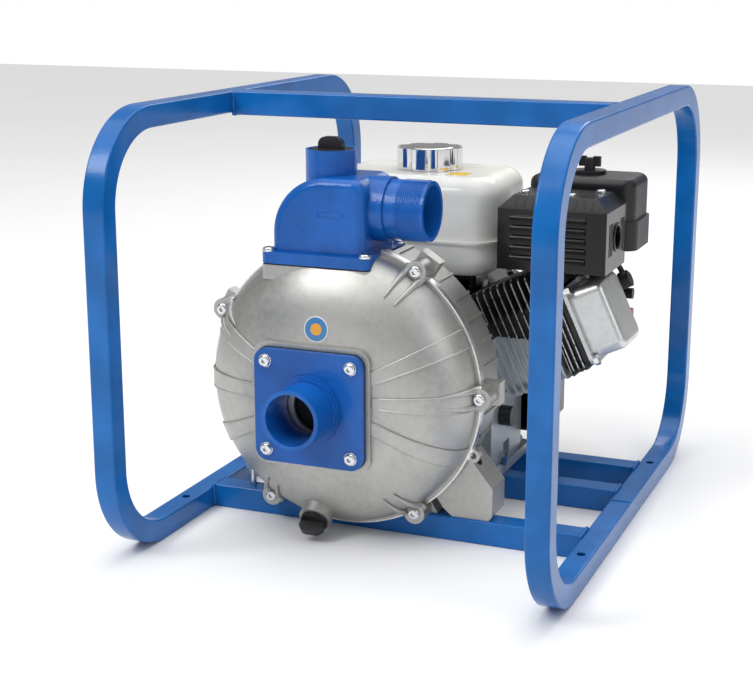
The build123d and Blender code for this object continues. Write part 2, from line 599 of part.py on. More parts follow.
def muffler_guard():
    body = block(GUARD_X, GUARD_Y, GUARD_Z)
    body = chamfer(body.edges().group_by(Axis.Z)[-1], 13.0)
    inner = block((GUARD_X[0] + 1.6, GUARD_X[1] - 1.6), (GUARD_Y[0] + 1.6, GUARD_Y[1] - 1.6),
                  (GUARD_Z[0] - 2, GUARD_Z[1] - 1.6))
    body -= chamfer(inner.edges().group_by(Axis.Z)[-1], 12.3)
    for x, y in GUARD_SCREWS:
        body -= rod_z(2.5, (330, 350), x, y)
    for k in range(5):
        z = GUARD_Z[0] + 10 + 10.5 * k
        body -= block((GUARD_X[0] + 14, GUARD_X[1] - 22), (-2, 4), (z - 1.4, z + 1.4))
    body -= rod_x(12, (180, 200), 44, 300)
    return body


def air_cleaner_cover():
    body = block(CLEANER_X, CLEANER_Y, CLEANER_Z, 14.0, "Z")
    body = fillet(body.edges().group_by(Axis.Z)[-1], 9.0)
    body -= block((CLEANER_X[0] + 3, CLEANER_X[1] - 3), (CLEANER_Y[0] + 3, CLEANER_Y[1] - 3),
                  (CLEANER_Z[0] - 1, CLEANER_Z[1] - 4), 11.0, "Z")
    body += rod_z(18, (CLEANER_Z[1] - 4, CLEANER_Z[1] + 4), *STUD_AT)
    return body - rod_z(4.2, (300, 370), *STUD_AT)


def air_cleaner_base():
    body = block((CLEANER_X[0] - 2, CLEANER_X[1] + 3), (CLEANER_Y[0] - 1, CLEANER_Y[1] + 2),
                 (CLEANER_BASE_Z, CLEANER_Z[0] - 0.3), 15.0, "Z")
    body -= block((CLEANER_X[0] + 2, CLEANER_X[1] - 2), (CLEANER_Y[0] + 3, CLEANER_Y[1] - 3),
                  (CLEANER_BASE_Z + 4, 320), 11.0, "Z")
    body += block((130, 168), (114, 146), (236.2, CLEANER_BASE_Z + 6), 8.0, "Z")
    body += rod_z(9, (CLEANER_BASE_Z, 312), *STUD_AT)
    return body + rod_z(3.0, (300, 368), *STUD_AT)


def carburetor():
    body = block((132, 166), (109.7, 142), (196, 236), 6.0, "Y")
    body += rod_z(17, (178, 200), 149, 127)
    return body + rod_x(5, (120, 134), 130, 208)


def fuel_tank():
    outer = block(TANK_X, TANK_Y, TANK_Z, 34.0, "Z")
    outer = fillet(outer.edges().group_by(Axis.Z)[-1] + outer.edges().group_by(Axis.Z)[0], 20.0)
    inner = block((TANK_X[0] + 2, TANK_X[1] - 2), (TANK_Y[0] + 2, TANK_Y[1] - 2),
                  (TANK_Z[0] + 2, TANK_Z[1] - 2), 32.0, "Z")
    inner = fillet(inner.edges().group_by(Axis.Z)[-1] + inner.edges().group_by(Axis.Z)[0], 18.0)
    seam = block((TANK_X[0] - 3, TANK_X[1] + 3), (TANK_Y[0] - 3, TANK_Y[1] + 3),
                 (TANK_SEAM_Z - 1.2, TANK_SEAM_Z + 1.2), 37.0, "Z")
    body = outer + seam - inner
    body += rod_z(30, (TANK_Z[1] - 2, TANK_Z[1] + 9), *CAP_AT)
    body -= rod_z(27, (TANK_Z[1] - 4, TANK_Z[1] + 20), *CAP_AT)
    return body + rod_z(4, (236, TANK_Z[0] + 6), 50, 136)


def fuel_cap():
    body = rod_z(CAP_R, (TANK_Z[1] + 0.4, CAP_TOP_Z), *CAP_AT)
    for k in range(8):
        angle = radians(22.5 + 45 * k)
        body -= rod_z(9, (TANK_Z[1] - 1, CAP_TOP_Z + 1), CAP_AT[0] + (CAP_R + 5) * cos(angle),
                      CAP_AT[1] + (CAP_R + 5) * sin(angle))
    body -= rod_z(30.4, (TANK_Z[1] - 1, CAP_TOP_Z - 4), *CAP_AT)
    return body + rod_z(26.9, (TANK_Z[1] - 6, CAP_TOP_Z - 3), *CAP_AT)


def fan_cover():
    body = rod_y(FAN_R, (ENGINE_BACK_Y + 0.3, FAN_BACK_Y), 0, CRANK_Z)
    body += block((-FAN_R, FAN_R), (ENGINE_BACK_Y + 0.3, FAN_BACK_Y), (60, CRANK_Z), 6.0, "Y")
    cavity = rod_y(FAN_R - 3, (ENGINE_BACK_Y - 1, FAN_BACK_Y - 3), 0, CRANK_Z)
    cavity += block((-FAN_R + 3, FAN_R - 3), (ENGINE_BACK_Y - 1, FAN_BACK_Y - 3), (63, CRANK_Z))
    cavity -= block((-110, 110), (90, 200), (0, FAN_FLOOR_Z + 3))
    body -= cavity
    body -= block((-110, 110), (90, 200), (0, FAN_FLOOR_Z))
    body -= rod_y(66, (150, 200), 0, CRANK_Z)
    return body.solids().sort_by(SortBy.VOLUME)[-1]


def recoil_ear(angle):
    """Centre of one mounting ear of the starter cover."""
    return RECOIL_EAR_R * cos(radians(angle)), CRANK_Z + RECOIL_EAR_R * sin(radians(angle))


def recoil_cover():
    body = rod_y(RECOIL_R, (FAN_BACK_Y, RECOIL_BACK_Y), 0, CRANK_Z)
    body = fillet(body.edges().group_by(Axis.Y)[-1], 6.0)
    for angle in RECOIL_EAR_ANGLES:
        x, z = recoil_ear(angle)
        body += rod_y(8, (FAN_BACK_Y, FAN_BACK_Y + 5), x, z)
        body -= rod_y(2.5, (FAN_BACK_Y - 1, FAN_BACK_Y + 6), x, z)
    body -= rod_y(RECOIL_R - 4, (FAN_BACK_Y - 1, RECOIL_BACK_Y - 3), 0, CRANK_Z)
    for ring_r in (40.0, 58.0):
        for k in range(12):
            slot = Pos(ring_r, RECOIL_BACK_Y, 0) * Box(12, 12, 5)
            body -= Pos(0, 0, CRANK_Z) * Rot(0, 30 * k, 0) * slot
    body += rod_y(6, (192, RECOIL_BACK_Y - 2), 0, CRANK_Z)
    return body - rod_x(3.4, (60, 100), 208, CRANK_Z + 40)


def recoil_pulley():
    body = rod_y(41, (201, 216), 0, CRANK_Z) - rod_y(6.06, (190, 220), 0, CRANK_Z)
    rim = rod_y(42, (206, 211), 0, CRANK_Z) - rod_y(37, (205, 212), 0, CRANK_Z)
    return body - rim


def flywheel():
    body = rod_y(74, (112, 134), 0, CRANK_Z) - rod_y(58, (111, 128), 0, CRANK_Z)
    for k in range(16):
        body += Pos(0, 0, CRANK_Z) * Rot(0, 22.5 * k, 0) * Pos(60, 141, 0) * Box(24, 16, 3)
    body += rod_y(20, (112, 134), 0, CRANK_Z)
    return body - rod_y(SHAFT_R, (100, 140), 0, CRANK_Z)


def crankshaft():
    body = rod_y(SHAFT_R, (-92, 150), 0, CRANK_Z)
    body += rod_y(14, (12, 20), 0, CRANK_Z)
    for y in ((30, 38), (54, 62)):
        body += rod_y(36, y, 0, CRANK_Z)
    body -= rod_y(20, (38.5, 53.5), 0, CRANK_Z)
    pin = head_place(22, CYLINDER_Y, 0)
    return body + rod_y(10, (37, 55), pin[0], pin[2])


def camshaft():
    body = rod_y(4.5, (6, 90), CAM_X, CAM_Z) + rod_y(27.5, (12, 20), CAM_X, CAM_Z)
    for y in (72, 80):
        body += Pos(CAM_X, y, CAM_Z) * Rot(90, 0, 0) * Cylinder(7, 5)
        body += Pos(CAM_X + 4, y, CAM_Z) * Rot(90, 0, 0) * Cylinder(5, 5)
    return body


def piston():
    body = tilted(rod_x(BORE_R - RUNNING_GAP, (104, 150), CYLINDER_Y, 0))
    return body - tilted(rod_x(BORE_R - 4, (100, 144), CYLINDER_Y, 0))


def tube_along(points, radii, r):
    """Round tube of radius r along straight runs joined by arcs."""
    path = FilletPolyline(*points, radius=radii)
    plane = Plane(path @ 0, z_dir=path % 0)
    return sweep(plane * Circle(r), path=path)


LEAD_POINTS = [(188.5, 98, 252.6), (181, 98, 268.7), (132, 99, 263), (103, 101, 238), (84, 105, 196)]
LEAD_RADII = [10.5, 40.0, 46.0]
HOSE_POINTS = [(50, 136, 235), (52, 136, 228.5), (80, 134, 218), (119.2, 131, 209)]
HOSE_RADII = [6.0, 26.0]


def spark_plug():
    body = tilted(rod_x(6.0, (160, 178), PLUG_Y, PLUG_T) + rod_x(5.0, (178, 214), PLUG_Y, PLUG_T))
    return body + tilted(Pos(180.6, PLUG_Y, PLUG_T) * Rot(0, 90, 0) * extrude(RegularPolygon(8, 6), 6))


def spark_plug_cap():
    body = tilted(rod_x(8.5, (192, 228), PLUG_Y, PLUG_T))
    body += tilted(rod_z(6.0, (PLUG_T, 30), 222, PLUG_Y))
    return body - tilted(rod_x(5.05, (190, 215), PLUG_Y, PLUG_T))


def frame_bolts():
    """Bolts that hold the pump feet and the engine base to the cross bars."""
    feet = [Pos(x, PUMP_FOOT_Y, FOOT_SEAT_Z) * hex_bolt(8.2, 5.5, 4.0, FOOT_SEAT_Z) for x in PUMP_FOOT_X]
    base = [Pos(x, y, BASE_TOP) * hex_bolt(8.2, 5.5, 4.0, BASE_TOP) for x in MOUNT_X for y in MOUNT_Y]
    return group(feet + base)


def lever_knob(place, arm_z):
    """Black knob on a short arm that turns about X."""
    body = rod_x(4.0, (place[0] - 10, place[0] + 3), place[1], place[2])
    body += block((place[0], place[0] + 3), (place[1] - 13, place[1] + 5), (place[2] - 5, place[2] + arm_z))
    return body + rod_x(6.0, (place[0] + 2.5, place[0] + 22), place[1] - 8, place[2])


def make_engine():
    keep("crankcase", crankcase())
    keep("crankcase_cover", crankcase_cover())
    keep("cylinder_head", cylinder_head())
    keep("rocker_cover", rocker_cover())
    keep("muffler", muffler())
    keep("muffler_guard", muffler_guard())
    keep("engine_cover_screws", engine_cover_screws())
    keep("air_cleaner_cover", air_cleaner_cover())
    keep("air_cleaner_base", air_cleaner_base())
    element = block((92, 190), (102, 158), (312.3, 345), 12.0, "Z")
    keep("air_filter_element", element - block((106, 176), (114, 146), (300, 350), 6.0, "Z"))
    knob = rod_z(6, (CLEANER_Z[1] + 4.3, CLEANER_Z[1] + 17), *STUD_AT) - rod_z(3.05, (350, 380), *STUD_AT)
    for side in (-1, 1):
        knob += block((STUD_AT[0] + side * 8 - 4, STUD_AT[0] + side * 8 + 4), (STUD_AT[1] - 2.5, STUD_AT[1] + 2.5),
                      (CLEANER_Z[1] + 8, CLEANER_Z[1] + 19))
    keep("air_cleaner_wing_nut", knob)
    keep("carburetor", carburetor())
    keep("choke_lever", lever_knob((176.3, 122, 226), 5))
    keep("fuel_valve_lever", lever_knob((176.3, 122, 204), 5))
    lever = rod_y(5, (92.6, 95.6), 112, 214) + block((110, 114), (92.6, 94.6), (214, 246))
    keep("throttle_lever", lever + rod_y(5, (92.6, 95.9), 112, 244))
    keep("fuel_tank", fuel_tank())
    keep("fuel_cap", fuel_cap())
    bracket = block((-60, 40), (40, 92), (CASE_TOP, TANK_Z[0]), 6.0, "Z")
    keep("tank_bracket", bracket - block((-54, 34), (30, 100), (CASE_TOP - 1, TANK_Z[0] - 4)))
    keep("fan_cover", fan_cover())
    keep("recoil_cover", recoil_cover())
    keep("recoil_pulley", recoil_pulley())
    handle = block((86, 100), (190, 226), (CRANK_Z + 33, CRANK_Z + 47), 5.0, "Y")
    keep("recoil_handle", handle + rod_x(2.4, (70, 88), 208, CRANK_Z + 40))
    keep("flywheel", flywheel())
    keep("crankshaft", crankshaft())
    keep("camshaft", camshaft())
    keep("crank_bearings", group([tubular(SHAFT_R + RUNNING_GAP, 12, y) for y in ((-6, 3), (92.5, 99))]))
    keep("piston", piston())
    coil = Pos(0, 0, CRANK_Z) * Rot(0, -38, 0) * Pos(86.5, 118, 0) * Box(20, 22, 26)
    keep("ignition_coil", coil)
    cap = rod_x(11, (CASE_X[1] + 0.3, CASE_X[1] + 14), 24, 99) + rod_x(8.0, (CASE_X[1] - 12, CASE_X[1] + 1), 24, 99)
    keep("oil_filler_cap", cap)
    keep("oil_drain_bolt", Pos(CASE_X[1], 22, 50) * Rot(0, 90, 0) * extrude(RegularPolygon(8, 6), 7))
    keep("frame_bolts", frame_bolts())
    switch = rod_y(11, (FAN_BACK_Y + 0.3, FAN_BACK_Y + 6), 88, 80)
    keep("engine_switch", switch + block((86, 90), (FAN_BACK_Y + 5, FAN_BACK_Y + 14), (71, 89)))
    keep("spark_plug", spark_plug())
    keep("spark_plug_cap", spark_plug_cap())
    keep("spark_plug_lead", tube_along(LEAD_POINTS, LEAD_RADII, LEAD_R))
    keep("fuel_hose", tube_along(HOSE_POINTS, HOSE_RADII, HOSE_R))


make_engine()


def write_nodes():
    for name, shape in NODES.items():
        export_step(shape, f"parts/{name}.step")


write_nodes()
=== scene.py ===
"""Gas engine trash pump in a roll cage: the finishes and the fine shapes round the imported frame.

Metres, +Z up. X runs across the cage, Y from the suction side to the starter.
"""

from __future__ import annotations

import json
import logging
import math
from dataclasses import dataclass
from enum import Enum
from typing import Any, Sequence, Union

import bmesh
import bpy
from mathutils import Matrix, Vector

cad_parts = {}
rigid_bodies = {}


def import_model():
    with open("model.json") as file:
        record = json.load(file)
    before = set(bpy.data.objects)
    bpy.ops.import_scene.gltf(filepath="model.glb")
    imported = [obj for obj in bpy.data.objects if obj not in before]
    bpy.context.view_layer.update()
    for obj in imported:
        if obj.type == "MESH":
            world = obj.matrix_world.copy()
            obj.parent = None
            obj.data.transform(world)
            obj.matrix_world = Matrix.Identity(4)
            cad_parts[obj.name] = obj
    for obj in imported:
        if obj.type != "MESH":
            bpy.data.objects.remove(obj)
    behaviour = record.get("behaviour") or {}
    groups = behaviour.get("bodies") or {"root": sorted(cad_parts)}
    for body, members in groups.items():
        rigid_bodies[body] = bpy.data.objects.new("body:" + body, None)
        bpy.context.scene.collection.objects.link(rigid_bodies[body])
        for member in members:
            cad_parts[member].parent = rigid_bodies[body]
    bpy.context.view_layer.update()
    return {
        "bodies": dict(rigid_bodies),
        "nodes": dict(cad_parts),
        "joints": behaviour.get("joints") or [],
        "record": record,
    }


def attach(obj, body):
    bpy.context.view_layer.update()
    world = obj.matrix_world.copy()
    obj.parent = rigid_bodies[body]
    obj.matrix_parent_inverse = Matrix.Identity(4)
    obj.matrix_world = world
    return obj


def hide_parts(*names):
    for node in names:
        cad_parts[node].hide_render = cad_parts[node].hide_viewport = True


log = logging.getLogger("pump")

MM = 0.001
ROOT = "root"
SQUARE = (-1, 1)
CYLINDER_TILT = math.radians(25.0)
CRANK = Vector((0.0, 0.0, 131.4)) * MM

Shape = bmesh.types.BMesh
Point = Sequence[float]
Colour = tuple[float, float, float, float]


# ------------------------------------------------------------------ shader maths
class Sock:
    """One output socket that can be used in a Python expression."""

    def __init__(self, graph: "Graph", socket: bpy.types.NodeSocket) -> None:
        """Wrap a socket of a graph."""
        self.graph = graph
        self.socket = socket

    def __add__(self, other: "Value") -> "Sock":
        """Sum."""
        return self.graph.math("ADD", self, other)

    __radd__ = __add__

    def __mul__(self, other: "Value") -> "Sock":
        """Product."""
        return self.graph.math("MULTIPLY", self, other)

    __rmul__ = __mul__

    def __sub__(self, other: "Value") -> "Sock":
        """Difference."""
        return self.graph.math("SUBTRACT", self, other)

    def __rsub__(self, other: "Value") -> "Sock":
        """Reflected difference."""
        return self.graph.math("SUBTRACT", other, self)

    def __truediv__(self, other: "Value") -> "Sock":
        """Quotient."""
        return self.graph.math("DIVIDE", self, other)

    def __abs__(self) -> "Sock":
        """Size without sign."""
        return self.graph.math("ABSOLUTE", self)

    def most(self, other: "Value") -> "Sock":
        """Larger of two values."""
        return self.graph.math("MAXIMUM", self, other)

    def step(self, low: float, high: float) -> "Sock":
        """Smooth step from 0 at low to 1 at high.

        Args:
            low: Value where the step starts.
            high: Value where the step is complete; it may be below low.

        Returns:
            The stepped value.
        """
        settings = {"interpolation_type": "SMOOTHSTEP"}
        if low < high:
            values = {"Value": self, "From Min": low, "From Max": high}
            return self.graph.node("ShaderNodeMapRange", settings, values, "Result")
        values = {"Value": self, "From Min": high, "From Max": low}
        return 1 - self.graph.node("ShaderNodeMapRange", settings, values, "Result")


Value = Union[Sock, int, float]


class Graph:
    """Node tree of one material, with its Principled shader."""

    def __init__(self, name: str) -> None:
        """Start a material of that name."""
        self.material = bpy.data.materials.new(name)
        self.material.use_nodes = True
        self.tree = self.material.node_tree
        self.shader = self.tree.nodes["Principled BSDF"]

    def node(self, kind: str, settings: dict[str, Any], values: dict[Any, Any], out: Any) -> Sock:
        """Add one node.

        Args:
            kind: The node's type.
            settings: Properties, set before the sockets.
            values: Value or link of each input, by name or number.
            out: Name or number of the output wanted.

        Returns:
            The wrapped output.
        """
        made = self.tree.nodes.new(kind)
        for key, value in settings.items():
            setattr(made, key, value)
        for key, value in values.items():
            self.feed(made.inputs[key], value)
        return Sock(self, made.outputs[out])

    def feed(self, target: bpy.types.NodeSocket, value: Any) -> None:
        """Link or set one input socket."""
        if isinstance(value, Sock):
            self.tree.links.new(value.socket, target)
        else:
            target.default_value = value

    def math(self, operation: str, *values: Value) -> Sock:
        """Math node on one or two values."""
        return self.node("ShaderNodeMath", {"operation": operation}, dict(enumerate(values)), 0)

    def place(self) -> Sock:
        """Object coordinates, which are the frame's own, in metres."""
        return self.node("ShaderNodeTexCoord", {}, {}, "Object")

    def axes(self) -> tuple[Sock, Sock, Sock]:
        """The three object coordinates as numbers."""
        split = self.tree.nodes.new("ShaderNodeSeparateXYZ")
        self.tree.links.new(self.place().socket, split.inputs[0])
        return tuple(Sock(self, out) for out in split.outputs)

    def radius(self, centre: tuple[float, float]) -> Sock:
        """Distance from an axis that runs along Y through centre, which is (x, z)."""
        x, _, z = self.axes()
        dx = x - centre[0]
        dz = z - centre[1]
        return self.math("SQRT", dx * dx + dz * dz)

    def noise(self, size: float, detail: float = 3.0, roughness: float = 0.5) -> Sock:
        """Noise whose blotches are about size metres across."""
        values = {"Vector": self.place(), "Scale": 1 / size, "Detail": detail, "Roughness": roughness}
        return self.node("ShaderNodeTexNoise", {}, values, 0)

    def cells(self, size: float) -> Sock:
        """Distance to the nearest of scattered points about size metres apart."""
        return self.node("ShaderNodeTexVoronoi", {}, {"Vector": self.place(), "Scale": 1 / size}, 0)

    def blend(self, factor: Value, first: Any, second: Any) -> Sock:
        """Colour between two colours."""
        settings = {"data_type": "RGBA"}
        return self.node("ShaderNodeMix", settings, {0: factor, 6: first, 7: second}, 2)

    def bump(self, height: Sock, depth: float) -> None:
        """Give the shader a bump of that depth in metres."""
        made = self.node("ShaderNodeBump", {}, {"Height": height, "Distance": depth, "Strength": 1.0}, 0)
        self.feed(self.shader.inputs["Normal"], made)

    def set(self, **values: Any) -> None:
        """Set shader inputs; underscores in names stand for spaces."""
        for key, value in values.items():
            self.feed(self.shader.inputs[key.replace("_", " ")], value)


def colour(red: float, green: float, blue: float) -> Colour:
    """Linear colour with full alpha."""
    return (red, green, blue, 1.0)


def toned(base: Colour, gain: float, lift: float = 0.0) -> Colour:
    """A colour made darker or lighter by a gain, and lifted."""
    return colour(*(min(1.0, gain * c + lift) for c in base[:3]))


# ------------------------------------------------------------------ finishes
@dataclass(frozen=True)
class GlossPaint:
    """Gloss enamel over metal, with a thin orange peel or the sand grain of the casting under it."""

    name: str
    base: Colour
    grain: float = 0.004
    depth: float = 0.00003
    roughness: float = 0.22
    pits: float = 0.0
    clouding: float = 0.16

    def material(self) -> bpy.types.Material:
        """Build the material."""
        graph = Graph(self.name)
        cloud = graph.noise(0.05, 2.0)
        dark = toned(self.base, 1 - self.clouding)
        light = toned(self.base, 1.08, 0.004)
        graph.set(Base_Color=graph.blend(cloud.step(0.3, 0.7), dark, light))
        graph.set(Roughness=self.roughness + 0.10 * graph.noise(0.02, 4.0))
        graph.set(Coat_Weight=0.12, Coat_Roughness=0.05, Specular_IOR_Level=0.3)
        height = graph.noise(self.grain, 2.0)
        if self.pits:
            height = height + self.pits * graph.cells(self.grain * 1.6)
        graph.bump(height, self.depth)
        return graph.material


@dataclass(frozen=True)
class BlastedMetal:
    """Shot-blasted or die-cast metal: satin, with a fine grain and a slow change of tone."""

    name: str
    base: Colour
    roughness: float = 0.42
    grain: float = 0.0009
    depth: float = 0.00006
    metallic: float = 0.85

    def material(self) -> bpy.types.Material:
        """Build the material."""
        graph = Graph(self.name)
        self.dress(graph, self.tone(graph), 0.0)
        return graph.material

    def tone(self, graph: Graph) -> Sock:
        """Base colour with slow darker clouds and handling marks."""
        cloud = 0.6 * graph.noise(0.06, 3.0) + 0.4 * graph.noise(0.006, 4.0)
        return graph.blend(cloud.step(0.25, 0.65), toned(self.base, 0.78), self.base)

    def dress(self, graph: Graph, tone: Sock, polished: Value) -> None:
        """Set the shader's inputs.

        Args:
            graph: The material's graph.
            tone: Base colour.
            polished: 1 where the metal is machined bright, 0 where it is as cast.
        """
        graph.set(Base_Color=tone, Metallic=self.metallic)
        rough = self.roughness + 0.14 * graph.noise(0.012, 4.0)
        if isinstance(polished, Sock):
            rough = rough - polished * 0.22
        graph.set(Roughness=rough)
        grain = graph.noise(self.grain, 3.0, 0.7) + 0.5 * graph.cells(self.grain * 2.4)
        if isinstance(polished, Sock):
            grain = grain * (1 - polished)
        graph.bump(grain, self.depth)


@dataclass(frozen=True)
class CastCasing(BlastedMetal):
    """Blasted casing with a machined joint face round its rim."""

    centre: tuple[float, float] = (-0.046, 0.157)
    rim_r: tuple[float, float] = (0.1478, 0.1512)
    rim_y: tuple[float, float] = (-0.1195, -0.1094)
    darkening_y: tuple[float, float] = (-0.150, -0.115)

    def material(self) -> bpy.types.Material:
        """Build the material."""
        graph = Graph(self.name)
        _, y, _ = graph.axes()
        radius = graph.radius(self.centre)
        inner, outer = self.rim_r
        front, back = self.rim_y
        machined = radius.step(inner - 0.0006, inner) * y.step(front, front + 0.002)
        machined = machined * y.step(back, back - 0.0004) * radius.step(outer, outer - 0.001)
        # darker in noise patches towards the back of the casing, from the dome's sides to behind the rim
        rear_darkening = y.step(*self.darkening_y) * graph.noise(0.03, 3.0).step(0.35, 0.75)
        tone = graph.blend(0.35 * rear_darkening, self.tone(graph), colour(0.30, 0.30, 0.29))
        tone = graph.blend(machined, tone, colour(0.80, 0.80, 0.79))
        self.dress(graph, tone, machined)
        return graph.material


@dataclass(frozen=True)
class FinnedCylinder(BlastedMetal):
    """Pale crankcase whose finned barrel is painted black, with fin tips bare and bright."""

    fins_from: float = 0.082
    half_y: float = 0.0438
    fin_t: tuple[float, float] = (-0.0478, 0.0718)
    centre_y: float = 0.0481
    bright: float = 0.0013
    line: float = 0.0011
    barrel_fins: tuple[float, float] = (0.084, 0.0082222)
    head_fins: tuple[float, float] = (0.161, 0.006)
    head_from: float = 0.159
    head_black_from: float = 0.150
    black_above: float = 0.190

    def fin_line(self, graph: Graph, along: Sock, first: float, pitch: float) -> Sock:
        """Thin line along the middle of each fin's edge.

        Args:
            graph: The material's graph.
            along: Distance along the cylinder.
            first: Place of the first fin.
            pitch: Step from fin to fin.

        Returns:
            1 on the line and 0 off it.
        """
        phase = graph.math("FRACT", (along - first) / pitch + 0.5) - 0.5
        return abs(phase).step(0.5 * self.line / pitch + 0.01, 0.5 * self.line / pitch)

    def material(self) -> bpy.types.Material:
        """Build the material."""
        graph = Graph(self.name)
        x, y, z = graph.axes()
        rise = z - CRANK.z
        cos, sin = math.cos(CYLINDER_TILT), math.sin(CYLINDER_TILT)
        along = x * cos + rise * sin
        across = rise * cos - x * sin
        black = along.step(self.fins_from - 0.002, self.fins_from)
        above = z.step(self.black_above, self.black_above + 0.001)
        black = black * along.step(self.head_black_from, self.head_black_from + 0.002).most(above)
        low, top = self.fin_t
        reach = abs(y - self.centre_y) - self.half_y
        reach = reach.most(across - top).most(low - across)
        join = self.head_from
        barrel = self.fin_line(graph, along, *self.barrel_fins) * (1 - along.step(join - 0.0005, join))
        head = self.fin_line(graph, along, *self.head_fins) * along.step(join, join + 0.0005)
        tip = reach.step(-self.bright, -0.5 * self.bright) * (barrel + head)
        tip = tip * graph.noise(0.004, 3.0).step(0.28, 0.5)
        paint = graph.blend(graph.noise(0.02).step(0.3, 0.7), colour(0.012, 0.012, 0.013),
                            colour(0.03, 0.03, 0.032))
        painted = graph.blend(tip, paint, colour(0.66, 0.67, 0.68))
        tone = graph.blend(black, self.tone(graph), painted)
        graph.set(Base_Color=tone, Metallic=(0.25 + 0.65 * tip) * black + 0.6 * (1 - black))
        graph.set(Roughness=self.roughness + 0.1 * graph.noise(0.01))
        graph.bump(graph.noise(self.grain, 3.0, 0.7), self.depth)
        return graph.material


@dataclass(frozen=True)
class BrightSteel:
    """Zinc, chrome or ground steel: a bright metal with faint drawn lines and dull spots."""

    name: str
    base: Colour
    roughness: float = 0.25
    spots: float = 0.1
    depth: float = 0.00001

    def material(self) -> bpy.types.Material:
        """Build the material."""
        graph = Graph(self.name)
        mottle = graph.noise(0.004, 4.0).step(0.45, 0.75)
        dull = toned(self.base, 0.72)
        graph.set(Base_Color=graph.blend(self.spots * 4 * mottle, self.base, dull), Metallic=1.0)
        graph.set(Roughness=self.roughness + self.spots * mottle)
        graph.bump(graph.noise(0.0015, 3.0), self.depth)
        return graph.material


@dataclass(frozen=True)
class Moulded:
    """Moulded plastic, rubber or foam, with a pebbled skin."""

    name: str
    base: Colour
    roughness: float = 0.5
    pebble: float = 0.0009
    depth: float = 0.00006

    def material(self) -> bpy.types.Material:
        """Build the material."""
        graph = Graph(self.name)
        wear = graph.noise(0.015, 5.0).step(0.5, 0.8)
        graph.set(Base_Color=graph.blend(wear, self.base, toned(self.base, 1.6, 0.003)))
        graph.set(Roughness=self.roughness + 0.12 * graph.noise(0.01, 3.0))
        graph.bump(graph.cells(self.pebble), self.depth)
        return graph.material


@dataclass(frozen=True)
class PlainBadge(GlossPaint):
    """Round badge with nothing on it but a warm middle and a pale rim."""

    centre: tuple[float, float] = (-0.052, 0.2265)
    middle_r: float = 0.0062
    rim_r: float = 0.0118
    warm: Colour = (0.75, 0.36, 0.04, 1.0)
    pale: Colour = (0.7, 0.72, 0.72, 1.0)

    def material(self) -> bpy.types.Material:
        """Build the material."""
        graph = Graph(self.name)
        radius = graph.radius(self.centre)
        middle = radius.step(self.middle_r, self.middle_r - 0.0004)
        rim = radius.step(self.rim_r, self.rim_r + 0.0003)
        tone = graph.blend(middle, self.base, self.warm)
        tone = graph.blend(rim, tone, self.pale)
        graph.set(Base_Color=tone, Roughness=self.roughness + 0.1 * graph.noise(0.003))
        graph.bump(graph.noise(0.002), self.depth)
        return graph.material


class Finish(Enum):
    """The finishes on this pump, named by the record's slots."""

    FRAME = GlossPaint("frame_paint", colour(0.001, 0.125, 0.43), 0.006, 0.00002, 0.16)
    FITTING = GlossPaint("fitting_paint", colour(0.004, 0.105, 0.43), 0.0022, 0.00022, 0.18, 0.6)
    CASING = CastCasing("casing_aluminium", colour(0.52, 0.515, 0.49), 0.38)
    RUBBER = Moulded("gasket_rubber", colour(0.012, 0.012, 0.013), 0.5, 0.0006)
    ZINC = BrightSteel("zinc_steel", colour(0.72, 0.74, 0.76), 0.2)
    PLASTIC = Moulded("black_plastic", colour(0.006, 0.006, 0.007), 0.36, 0.0011, 0.00005)
    IRON = BlastedMetal("cast_iron", colour(0.13, 0.13, 0.13), 0.6, 0.002, 0.0002, 0.7)
    GROUND = BrightSteel("ground_steel", colour(0.60, 0.60, 0.61), 0.24)
    ENGINE = FinnedCylinder("engine_aluminium", colour(0.50, 0.54, 0.57), 0.38, 0.0012, 0.00006, 0.6)
    ROCKER = BlastedMetal("rocker_aluminium", colour(0.72, 0.73, 0.73), 0.30, 0.0007, 0.00003, 0.9)
    GUARD = GlossPaint("guard_paint", colour(0.003, 0.003, 0.0035), 0.005, 0.00003, 0.18)
    MUFFLER = BrightSteel("muffler_steel", colour(0.30, 0.28, 0.26), 0.45, 0.2)
    TANK = GlossPaint("tank_paint", colour(0.90, 0.89, 0.83), 0.008, 0.00001, 0.12, 0.0, 0.03)
    CHROME = BrightSteel("cap_chrome", colour(0.78, 0.78, 0.79), 0.07, 0.03, 0.000004)
    FOAM = Moulded("filter_foam", colour(0.27, 0.21, 0.12), 0.9, 0.002, 0.0004)
    RED = Moulded("red_plastic", colour(0.5, 0.02, 0.015), 0.3, 0.002, 0.00002)
    BADGE = PlainBadge("badge", colour(0.05, 0.20, 0.45), 0.004, 0.00001, 0.2)


class Paints:
    """Makes each finish's material once."""

    def __init__(self) -> None:
        """Start with no materials made."""
        self.made: dict[Finish, bpy.types.Material] = {}

    def get(self, finish: Finish) -> bpy.types.Material:
        """Material of a finish."""
        if finish not in self.made:
            self.made[finish] = finish.value.material()
        return self.made[finish]

    def by_slot(self, slot: str) -> bpy.types.Material:
        """Material of the finish that the record calls slot."""
        found = next(finish for finish in Finish if finish.value.name == slot)
        return self.get(found)


# ------------------------------------------------------------------ geometry nodes
class Recipe(Enum):
    """The node trees that repeat a shape or follow a path."""

    STEPS = "repeat_in_steps"
    BEADS = "beads_along_path"
    SWEEP = "round_bar_along_path"


